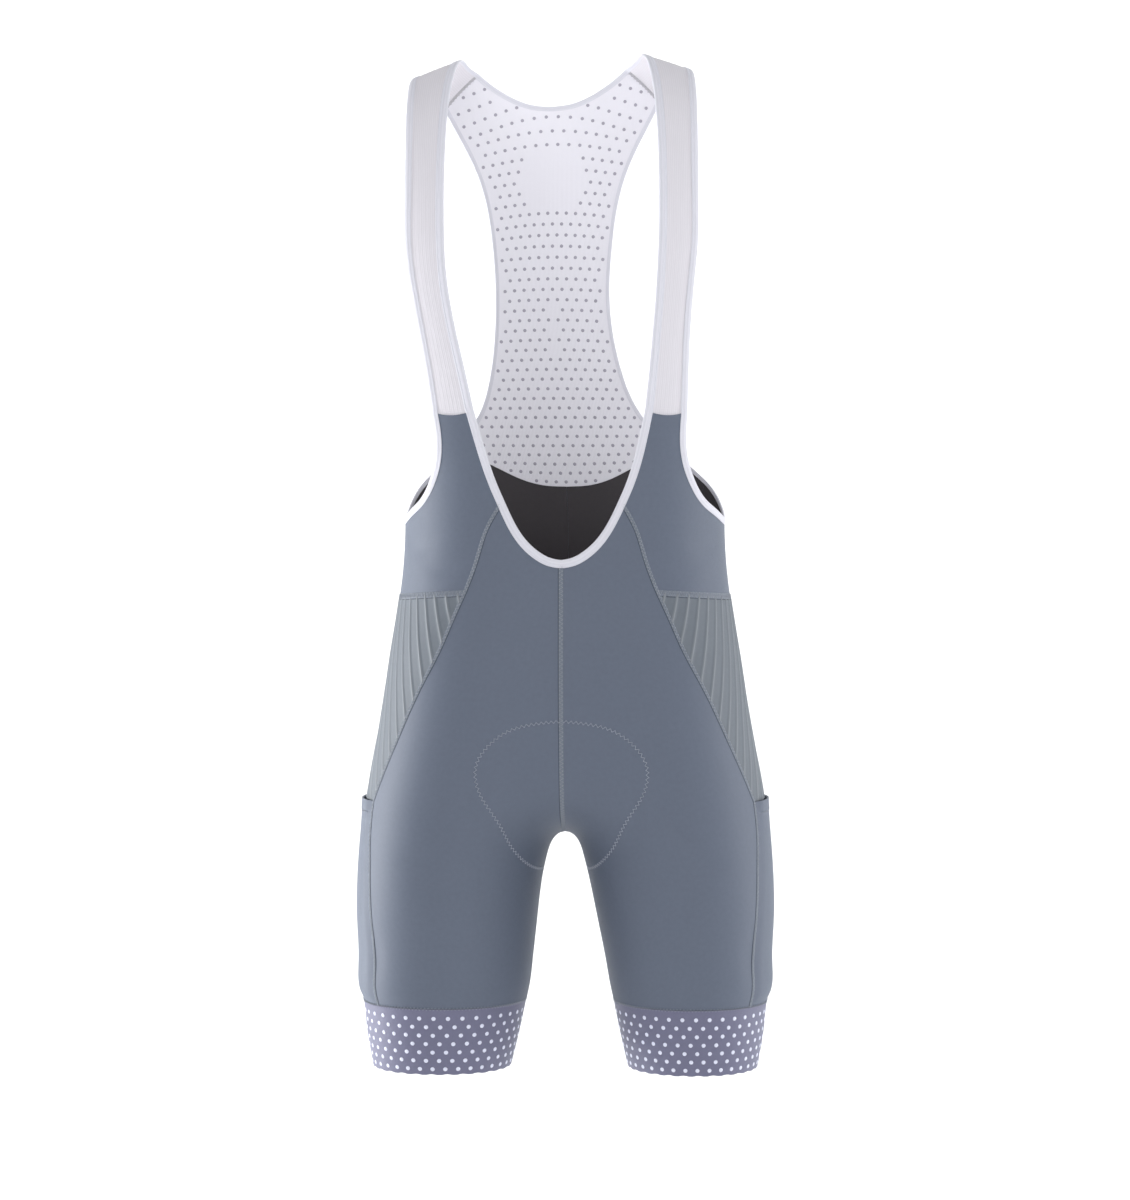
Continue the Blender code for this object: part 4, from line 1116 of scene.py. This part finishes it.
def signed_volume(points, quads):
    """The volume that quads enclose, less than 0 where they face inwards."""
    a, b, c, d = (points[quads[:, i]] for i in range(4))
    return float(np.einsum("ij,ij->", a, np.cross(b, c)) + np.einsum("ij,ij->", a, np.cross(c, d))) / 6


def mirrored_loop(half):
    """Rails of the left half and their mirror image, as one loop."""
    return tuple(np.concatenate([rail, on_hand(rail, -1)[-2:0:-1]]) for rail in half)


def chained(*parts):
    return tuple(np.concatenate(rails) for rails in zip(*parts))


# ---- threads, flat seams and dots ----


def sideways(line, outward):
    """The direction square to a line in space and to its outward direction."""
    return unit(np.cross(np.gradient(line, axis=0), outward))


def spokes(first, second, sides):
    """Directions evenly round a circle, from a first one towards a second one."""
    angle = np.linspace(0, 2 * math.pi, sides, endpoint=False)[None, :, None]
    return np.cos(angle) * first[:, None] + np.sin(angle) * second[:, None]


def rod(builder, grid, cloth, flip=False):
    """A closed rod: rings of points, one after another, with both its ends capped."""
    count, sides = grid.shape[:2]
    builder.add(grid, cloth, grid_faces(count, sides, closed=True, flip=flip))
    last = list(range(builder.count - sides, builder.count))
    first = [i - (count - 1) * sides for i in last]
    builder.faces += [first, last[::-1]] if flip else [first[::-1], last]
    builder.finish += [0, 0]


def tube(builder, points, outward, radius, sides=5):
    """A thread along points."""
    side = sideways(points, outward)
    up = np.cross(side, unit(np.gradient(points, axis=0)))
    ring = points[:, None] + radius * spokes(up, side, sides)
    rod(builder, ring, cloth_grid(np.zeros(sides), run_of(points)))


def zigzag(line, outward, width, pitch):
    """Points that swing from side to side of a line in space, and their outward directions."""
    length = run_of(line)
    count = max(int(length[-1] / (pitch / 2)), 2)
    wanted = np.linspace(0, length[-1], count + 1)
    middle, out = sampled(line, length, wanted), unit(sampled(outward, length, wanted))
    swing = np.where(np.arange(count + 1) % 2, 0.5, -0.5)[:, None]
    return middle + sideways(middle, out) * swing * width, out


def stitch(builder, line, outward, hand, width=STITCH_WIDE, pitch=STITCH_PITCH, radius=THREAD):
    """A zigzag of thread on a line in space."""
    points, out = zigzag(line, outward, width, pitch)
    tube(builder, on_hand(points, hand), on_hand(out, hand), radius)


# Across a flat seam: share of its half width, and share of its rise
FLATLOCK_SECTION = [
    (-1.0, -0.3), (-0.92, 0.55), (-0.6, 1.0), (-0.12, 0.9), (0.0, 0.55), (0.12, 0.9), (0.6, 1.0),
    (0.92, 0.55), (1.0, -0.3),
]


def flatlock(builder, line, outward, hand, width=FLATLOCK, rise=FLATLOCK_RISE, lift=CLOTH):
    """A flat seam: a low double ridge along a line in space."""
    across, height = np.array(FLATLOCK_SECTION).T * [[width / 2], [rise]]
    side = sideways(line, outward)[:, None] * across[:, None]
    grid = line[:, None] + side + outward[:, None] * (lift + height)[:, None]
    rod(builder, on_hand(grid, hand), cloth_grid(across, run_of(line)), flip=hand > 0)


# Up a dot: share of its radius, and share of its height
DOT_SECTION = [(0.82, 0.7), (0.40, 1.0)]


def dots(builder, centres, outward, radius, rise, hand, sides=12):
    """Low domes on points in space."""
    # any direction that is not nearly the outward one
    helper = np.where(np.abs(outward[:, :1]) < 0.9, [[1.0, 0, 0]], [[0, 0, 1.0]])
    side = unit(np.cross(helper, outward))
    spoke = spokes(side, np.cross(outward, side), sides)
    levels = [(1.0, -DOT_SUNK)] + [(share, height * rise) for share, height in DOT_SECTION]
    middle, up = centres[:, None], outward[:, None]
    rings = [middle + share * radius * spoke + up * lift for share, lift in levels]
    for dot in on_hand(np.stack(rings, axis=1), hand):
        rod(builder, dot, dot[..., ::2], flip=hand < 0)


# ---- the pieces ----

HANDS = ((1, "left"), (-1, "right"))


def seam_lines():
    """The lines of the flat seams between panels in the pattern plane, by name, on the left half."""
    centre_front, centre_back = (
        centre_line(np.linspace(top[1], CROTCH_Z + CROTCH_CLEAR, count), face)
        for top, count, face in ((NECK_BOUND[0], 140, 1), (MESH_SEAM_LINE[0], 160, -1))
    )
    down = np.linspace(0.001, 1, 120) ** 1.6  # with more points near the crotch
    waist_ends = DIAGONAL_LINE[N_BIB_WIDE][0], BACK_LINE[N_BIB_WIDE][0]
    return {
        "centre_front": centre_front,
        "centre_back": centre_back,
        "diagonal": join(DIAGONAL_LINE, THIGH_FRONT_LINE),
        "back": join(BACK_LINE, THIGH_BACK_LINE),
        "waist": level(WAIST_SEAM_Z, *waist_ends, 120, WAIST_DIP),
        "band": level(BAND_TOP_Z, girth(BAND_TOP_Z, -1), girth(BAND_TOP_Z, 1), 260),
        "inseam": centre_line(CROTCH_Z - (CROTCH_Z - BAND_TOP_Z) * down, 1),
        "mesh": MESH_SEAM_LINE,
    }


def spaced(line, step=SEAM_STEP):
    """A line of the pattern plane with points about a step apart."""
    return evenly(line, max(int(run_of(line)[-1] / step), 2))


def build_panels():
    """{name: (piece, points)} of the knitted panels on both sides."""
    pieces = {}
    ribs, rise = ribbed_grid()
    thigh = thigh_grid()
    across, z = np.moveaxis(thigh, -1, 0)
    tuck, layer, mouth = pocket_layers(across, z, across[:, :1], across[:, -1:])
    hem = np.where(POCKET_TOP_Z - z < POCKET_HEM, POCKET_HEM_RISE, 0) * tuck
    pocket = {"base": layer + GAP * tuck + mouth, "thick": layer + hem}
    band = {"thick": BAND_CLOTH, "closed": True}
    for hand, side in HANDS:
        for name, slot, materials, grid, settings in (
            ("front", "grey_knit", [GREY, INSIDE_SHADE], front_grid(), {}),
            ("seat", "grey_knit", [GREY, INSIDE_SHADE], seat_grid(), {}),
            ("bib_side", "grey_knit", [GREY, INSIDE_SHADE], bib_side_grid(), {}),
            ("ribbed_side", "ribbed_knit", [RIBBED, INSIDE_SHADE], ribs, {"raised": rise}),
            ("thigh_side", "grey_knit", [GREY, INSIDE_SHADE], thigh, {"thick": layer - GAP / 3}),
            ("pocket", "grey_knit", [GREY], thigh, pocket),
            ("leg_band", "dotted_band", [BAND, INSIDE_SHADE], band_grid(), band),
        ):
            key = f"{name}_{side}"
            pieces[key] = panel(f"{key}_shell", slot, materials, grid, hand, **settings)
    return pieces


def build_mesh_panel():
    """(piece, points) of the mesh panel, which is one piece from side to side."""
    grid = mesh_grid()
    points, outward = laid(grid)
    points[:, 0, 0] = outward[:, 0, 0] = 0
    flat = grid - np.stack([girth(grid[:, 0, 1], -1), np.zeros(len(grid))], axis=-1)[:, None]
    inner, outer, flat = (
        np.concatenate([on_hand(half, -1)[:, :0:-1], half], axis=1)
        for half in (points, points + outward * CLOTH, flat)
    )
    piece = wall("back_mesh_shell", "dotted_mesh", [MESH], flat, inner, outer, 1)
    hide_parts("back_mesh")
    return piece, inner


# The rows of dots on the mesh panel. z: where a row crosses the centre; step: to the next row below;
# pitch: between its dots; droop: how its ends hang lower, per metre (with the square of the distance,
# up to DROOP_BEND; a row runs on straight from there); squeeze: how much closer its dots stand, as a
# share, from SQUEEZE_FROM on.
DotRow = namedtuple("DotRow", "z step pitch droop squeeze")
DOT_ROWS = table(
    DotRow,
    (0.0600, 0.0121, 0.0110, 3.5, 0.13),
    (-0.0180, 0.0120, 0.0110, 3.4, 0.13),
    (-0.0310, 0.0118, 0.0109, 3.2, 0.13),
    (-0.0440, 0.0114, 0.0104, 2.4, 0.12),
    (-0.0560, 0.0107, 0.0099, 2.1, 0.10),
    (-0.0700, 0.0102, 0.0091, 1.8, 0.05),
    (-0.0900, 0.0095, 0.0087, 1.6, 0.0),
    (-0.1200, 0.0098, 0.0084, 1.7, 0.0),
    (-0.1400, 0.0100, 0.0083, 1.4, 0.0),
    (-0.1700, 0.0096, 0.0086, 1.0, 0.0),
    (-0.2500, 0.0090, 0.0089, 0.6, 0.0),
    (-0.3100, 0.0087, 0.0091, 0.0, 0.0),
    (-0.3400, 0.0084, 0.0091, -0.4, 0.0),
    (-0.3600, 0.0078, 0.0090, -1.6, 0.0),
)
DROOP_BEND, SQUEEZE_FROM = 0.048, 0.026
DOT_ROW_AT = Curve([row.z for row in DOT_ROWS], [row[1:] for row in DOT_ROWS])
FIRST_ROW_Z = 0.0541
DOT_CLEAR = 0.0019  # from a dot's middle to the seam or binding
DOT_FRAME = 0.0034  # how far the bindings reach over the panel on its inner face
DOTS_EACH_WAY = 20  # of the centre, more than the widest row has
ON_CENTRE = 1e-6  # a dot this near the centre line is on it


def inside(points, outline, clear):
    """Whether points of a plane lie inside a closed outline, clear of its edges."""
    a, b = outline, np.roll(outline, -1, axis=0)
    p = points[:, None]
    spans = (a[:, 1] > p[..., 1]) != (b[:, 1] > p[..., 1])
    rise = np.where(a[:, 1] == b[:, 1], 1.0, b[:, 1] - a[:, 1])
    crossing = a[:, 0] + (p[..., 1] - a[:, 1]) / rise * (b[:, 0] - a[:, 0])
    within = (spans & (p[..., 0] < crossing)).sum(axis=1) % 2 == 1
    along = b - a
    share = np.clip(((p - a) * along).sum(axis=2) / np.maximum((along**2).sum(axis=1), 1e-12), 0, 1)
    apart = np.linalg.norm(p - a - share[..., None] * along, axis=2).min(axis=1)
    return within & (apart > clear)


def mesh_outline():
    """The mesh panel's outline inside its bindings: distance from the centre, and height."""
    armhole, scoop = inset(ARM_EDGE, DOT_FRAME)[SEAT_CORNER:], inset(SCOOP_EDGE, DOT_FRAME)
    edge = np.concatenate([MESH_SEAM_LINE, armhole, scoop])
    edge[:, 0] -= girth(edge[:, 1], -1)
    return np.concatenate([edge, on_hand(edge, -1)[::-1]])


def build_mesh_dots():
    """Rows of dots on both faces of the mesh panel, round a bare patch and a bare lane below it."""
    spots, z, odd = [], FIRST_ROW_Z, 0
    while z > MESH_SEAM_LINE[0][1]:
        step, pitch, droop, squeeze = DOT_ROW_AT(z)
        away = (np.arange(-DOTS_EACH_WAY, DOTS_EACH_WAY + 1) + 0.5 * odd) * pitch
        away -= np.sign(away) * squeeze * np.maximum(np.abs(away) - SQUEEZE_FROM, 0)
        bent = np.minimum(np.abs(away), DROOP_BEND)
        drop = droop * bent * (2 * np.abs(away) - bent)
        spots.append(np.stack([away, z - drop], axis=1))
        z, odd = z - step, 1 - odd
    spots = np.concatenate(spots)
    spots = spots[inside(spots, mesh_outline(), DOT_CLEAR)]
    away, z = np.abs(spots[:, 0]), spots[:, 1]
    in_lane = (away < LANE_WIDE) & (z < LANE_TOP_Z) & (z > LANE_LOW_Z)
    spots = spots[(np.hypot(away, z - PATCH_Z) > PATCH_RADIUS + MESH_DOT) & ~in_lane]
    builder = Builder()
    for hand, _ in HANDS:  # the left hand also has the dots on the centre line
        own = spots[spots[:, 0] * hand > -hand * ON_CENTRE]
        centres, out = laid(centre_line(own[:, 1], -1, np.abs(own[:, 0])))
        dots(builder, centres + out * CLOTH, out, MESH_DOT, MESH_DOT_RISE, hand)
        dots(builder, centres, -out, MESH_DOT, MESH_DOT_RISE, hand)
    return builder.piece("back_mesh_dots", "dotted_mesh", [MESH_DOT_SHADE])


def build_band_dots(side, hand):
    """Staggered rows of raised dots round the leg."""
    builder = Builder()
    count = int(round(float(girth(BAND_TOP_Z, 1) - girth(BAND_TOP_Z, -1)) / BAND_DOT_PITCH))
    for row in range(BAND_DOT_ROWS):
        z = BAND_TOP_Z - BAND_DOT_FIRST - row * BAND_DOT_ROW_STEP
        pitch = (girth(z, 1) - girth(z, -1)) / count
        places = girth(z, -1) + (np.arange(count) + (0.25 if row % 2 else 0.75)) * pitch
        centres, outward = laid(np.stack([places, np.full(count, z)], axis=1))
        dots(builder, centres + outward * BAND_CLOTH, outward, BAND_DOT, BAND_DOT_RISE, hand)
    return builder.piece(f"leg_band_dots_{side}", "dotted_band", [BAND_PRINT])


def build_straps(strap):
    """{name: (piece, points)} of both straps."""
    pieces = {}
    steps = even_shares(STRAP_STEPS)
    inner, cloth = strap.body(steps)
    cords = CORD_RISE * np.cos(steps * 2 * math.pi * STRAP_CORDS)
    outer = inner + strap.outward[:, None] * (CLOTH + cords)[None, :, None]
    for hand, side in HANDS:
        piece = wall(f"strap_{side}_shell", "white_elastic", [ELASTIC], cloth, inner, outer, hand)
        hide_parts(f"strap_{side}")
        pieces[f"strap_{side}"] = (piece, inner)
    return pieces


def sewn(tape, thread, line, outward, hand, lift=CLOTH, width=FLATLOCK):
    """A flat seam and the zigzag that holds it."""
    flatlock(tape, line, outward, hand, width, lift=lift)
    raised = line + outward * (lift + FLATLOCK_RISE)
    stitch(thread, raised, outward, hand, width * STITCH_SHARE, FLATLOCK_PITCH)


def groove_shadow_strip(shade, line, outward, hand, seam, width):
    """A strip of painted shadow along one side of a flat seam, where the cloth dips."""
    away = GROOVE_SHADOW_SIDE[seam] * width * GROOVE_SHADOW_PLACE
    flatlock(shade, line + sideways(line, outward) * away, outward, hand, GROOVE_SHADOW, GROOVE_SHADOW_RISE)


def build_seams(lines, strap):
    """{name: piece} of the flat seams, their zigzag stitches and the strips of painted shadow beside them.
    """
    made = {}

    def make(name, slot, builder, material):
        made[name] = builder.piece(name, slot, [material])

    shade, pale, dark = Builder(), Builder(), Builder()
    for hand, side in HANDS:
        tape, thread = Builder(), Builder()
        for name, width in SEAM_WIDTH.items():
            points, outward = laid(spaced(lines[name]))
            sewn(tape, thread, points, outward, hand, width=width)
            if name in GROOVE_SHADOW_SIDE:
                groove_shadow_strip(shade, points, outward, hand, name, width)
        points, outward = laid(spaced(lines["band"]))
        stitch(thread, points + outward * BAND_CLOTH, outward, hand)
        points, outward = laid(spaced(lines["inseam"], FINE_STEP))
        flatlock(tape, points, outward, hand)
        back, front = THIGH_BACK_LINE[0][0], THIGH_FRONT_LINE[0][0]
        hem_line = level(POCKET_TOP_Z - POCKET_HEM, back + HEM_CLEAR, front - HEM_CLEAR, 90)
        points, outward = laid(hem_line)
        tuck, layer, mouth = pocket_layers(*hem_line.T, back, front)
        lift = 2 * layer + GAP * tuck + mouth
        stitch(thread, points + outward * lift[:, None], outward, hand)
        make(f"seams_{side}", "grey_knit", tape, SEAM)
        make(f"stitches_{side}", "grey_knit", thread, GREY_THREAD)
        end, outward = shoulder_seam(strap)
        for out, lift in ((outward, CLOTH), (-outward, 0.0)):
            sewn(pale, dark, end, out, hand, lift)
    tape, thread = Builder(), Builder()
    for name in ("centre_front", "centre_back"):
        points, outward = laid(spaced(lines[name], FINE_STEP))
        points[:, 0] = outward[:, 0] = 0
        outward = unit(outward)
        sewn(tape, thread, points, outward, 1, width=CENTRE_FLATLOCK)
        groove_shadow_strip(shade, points, outward, 1, name, CENTRE_FLATLOCK)
    make("centre_seams", "grey_knit", tape, SEAM)
    make("centre_stitches", "grey_knit", thread, GREY_THREAD)
    make("seam_groove_shadows", "grey_knit", shade, SEAM_SHADE)
    make("shoulder_seams", "white_elastic", pale, SEAM_PALE)
    make("shoulder_stitches", "white_elastic", dark, SHOULDER_THREAD)
    return made


def shoulder_seam(strap):
    """The line on which the strap's end meets the mesh panel, and its outward directions."""
    steps = even_shares(STRAP_STEPS)
    mesh, outward = laid(at(np.array([SCOOP_BOUND[0], ARM_BOUND[-1]]), steps))
    return (strap.body(steps)[0][-1] + mesh) / 2, unit(outward + strap.outward[-1])


def build_pad_line():
    """The zigzag that holds the pad, in front and behind, down to the inseam on each side."""
    thread = Builder()
    for hand, _ in HANDS:
        for outline, face in ((PAD_FRONT, 1), (PAD_BACK, -1)):
            line = through(seen(outline, face) + [(float(girth(PAD_END_Z, face)), PAD_END_Z)], 200)
            points, outward = laid(spaced(line, PAD_STEP))
            stitch(thread, points + outward * CLOTH, outward, hand, *PAD_STITCH, PAD_THREAD_RADIUS)
    return thread.piece("pad_stitches", "grey_knit", [PAD_THREAD])


def build_bindings(strap):
    """The neck's binding, those of both armholes, and the stitches along them."""
    neck_half = chained(pattern_rails(NECK_EDGE), strap_rails(strap, True), pattern_rails(SCOOP_EDGE))
    neck = mirrored_loop(neck_half)
    for rail in neck:
        rail[0, 0] = 0
    back_down = tuple(rail[::-1] for rail in strap_rails(strap, False))
    arm = chained(pattern_rails(ARM_EDGE), back_down)
    loops = {"neck_binding_shell": neck}
    for hand, side in HANDS:
        loops[f"armhole_binding_{side}_shell"] = tuple(on_hand(rail, hand) for rail in arm)
    thread = Builder()
    for name, rails in loops.items():
        binding(name, rails)
        binding_stitches(thread, rails)
    thread.piece("binding_stitches", "white_elastic", [WHITE_THREAD])


def binding_stitches(thread, rails):
    """A fine zigzag along a loop of binding."""
    line, out = (a * (1 - BINDING_STITCH) + b * BINDING_STITCH for a, b in (rails[:2], rails[2:]))
    line, out = (np.concatenate([v, v[:1]]) for v in (line, out))
    stitch(thread, line + out * BINDING_STITCH_LIFT, out, 1, *BINDING_ZIGZAG, BINDING_THREAD)


def build_all():
    strap = Strap()
    lines = seam_lines()
    panels = build_panels()
    mesh_piece, mesh_points = build_mesh_panel()
    mesh_dots = build_mesh_dots()
    straps = build_straps(strap)
    seams = build_seams(lines, strap)
    pad = build_pad_line()
    build_bindings(strap)
    extras = {}
    for hand, side in HANDS:
        extras[f"leg_band_{side}"] = [build_band_dots(side, hand)]
        extras[f"front_{side}"] = [seams[f"seams_{side}"], seams[f"stitches_{side}"]]
    extras["front_left"] += [seams[f"centre_{kind}"] for kind in ("seams", "stitches")]
    extras["front_left"] += [seams["seam_groove_shadows"], pad]
    extras["strap_left"] = [seams["shoulder_seams"], seams["shoulder_stitches"]]
    for key, (piece, points) in panels.items():
        declare_sheet(points)
    declare_sheet(mesh_points)
    for key, (piece, points) in straps.items():
        declare_sheet(points, stretch=1.0)


build_all()


# ---- camera, light and floor ----

# The photograph's camera: its distance, and its focal length and frame in the photograph's own pixels
CAMERA_DISTANCE, CAMERA_Z, CAMERA_TURN = 2.3, -0.468, math.radians(2)
FOCAL_PIXELS, PHOTO_HEIGHT, SENSOR = 2614, 1200, 36.0


def add_camera():
    camera = bpy.data.cameras.new("camera")
    camera.sensor_fit = "VERTICAL"
    camera.sensor_height = SENSOR
    camera.lens = SENSOR * FOCAL_PIXELS / PHOTO_HEIGHT
    eye = placed("camera", camera)
    across, back = CAMERA_DISTANCE * math.sin(CAMERA_TURN), CAMERA_DISTANCE * math.cos(CAMERA_TURN)
    eye.location = (across, -back, CAMERA_Z)
    eye.rotation_euler = (math.pi / 2, 0, CAMERA_TURN)
    bpy.context.scene.camera = eye


def add_light(name, location, aim, size, energy):
    """A soft box of light that faces a point."""
    light = bpy.data.lights.new(name, "AREA")
    light.shape = "RECTANGLE"
    light.size, light.size_y = size
    light.energy = energy
    lamp = placed(name, light)
    lamp.location = location
    x, y, z = np.array(location) - aim
    lamp.rotation_euler = (math.atan2(math.hypot(x, y), z), 0, math.atan2(y, x) + math.pi / 2)


FLOOR_Z = HEM_Z - 0.45  # the hems hang at knee height


def add_floor():
    """A pale floor that sweeps up into the backdrop behind."""
    front_y, back_y, sweep, high, half = -4.0, 3.0, 1.2, 4.0, 6.0
    angles = np.linspace(0, math.pi / 2, 17)
    start_y, centre_z = back_y - sweep, FLOOR_Z + sweep
    curve = [(start_y + sweep * math.sin(a), centre_z - sweep * math.cos(a)) for a in angles]
    profile = [(front_y, FLOOR_Z)] + curve + [(back_y, high)]
    points = [(x, y, z) for y, z in profile for x in (-half, half)]
    mesh = bpy.data.meshes.new("floor")
    mesh.from_pydata(points, [], grid_faces(len(profile), 2).tolist())
    mesh.shade_smooth()
    finish = bpy.data.materials.new("pale floor")
    finish.use_nodes = True
    surface = finish.node_tree.nodes["Principled BSDF"]
    surface.inputs["Base Color"].default_value = (0.90, 0.90, 0.90, 1)
    surface.inputs["Roughness"].default_value = 0.9
    mesh.materials.append(finish)
    placed("floor", mesh)


bpy.context.scene.view_settings.view_transform = "Standard"
add_camera()
add_floor()
CHEST = (0.0, 0.0, -0.45)
add_light("key", (-0.7, -2.6, 0.5), CHEST, (2.0, 2.0), 28)
add_light("fill", (1.2, -2.4, -0.1), CHEST, (2.0, 2.0), 16)
add_light("top", (0.2, -0.9, 1.6), (0.0, 0.0, -0.1), (1.6, 1.6), 11)
add_light("left rim", (-1.85, 0.40, -0.80), (0.0, 0.0, -0.65), (0.8, 1.3), 48)
add_light("right rim", (1.9, 0.3, -0.75), (0.0, 0.0, -0.65), (1.0, 1.6), 25)
add_light("backdrop left", (-1.6, 1.4, 0.9), (0.0, 3.0, -0.4), (1.4, 1.4), 36)
add_light("backdrop right", (1.6, 1.4, 0.9), (0.0, 3.0, -0.4), (1.4, 1.4), 36)

world = bpy.data.worlds.new("studio")
world.use_nodes = True
sky = world.node_tree.nodes["Background"]
sky.inputs["Color"].default_value = (0.95, 0.97, 1.0, 1)
sky.inputs["Strength"].default_value = 0.20
bpy.context.scene.world = world
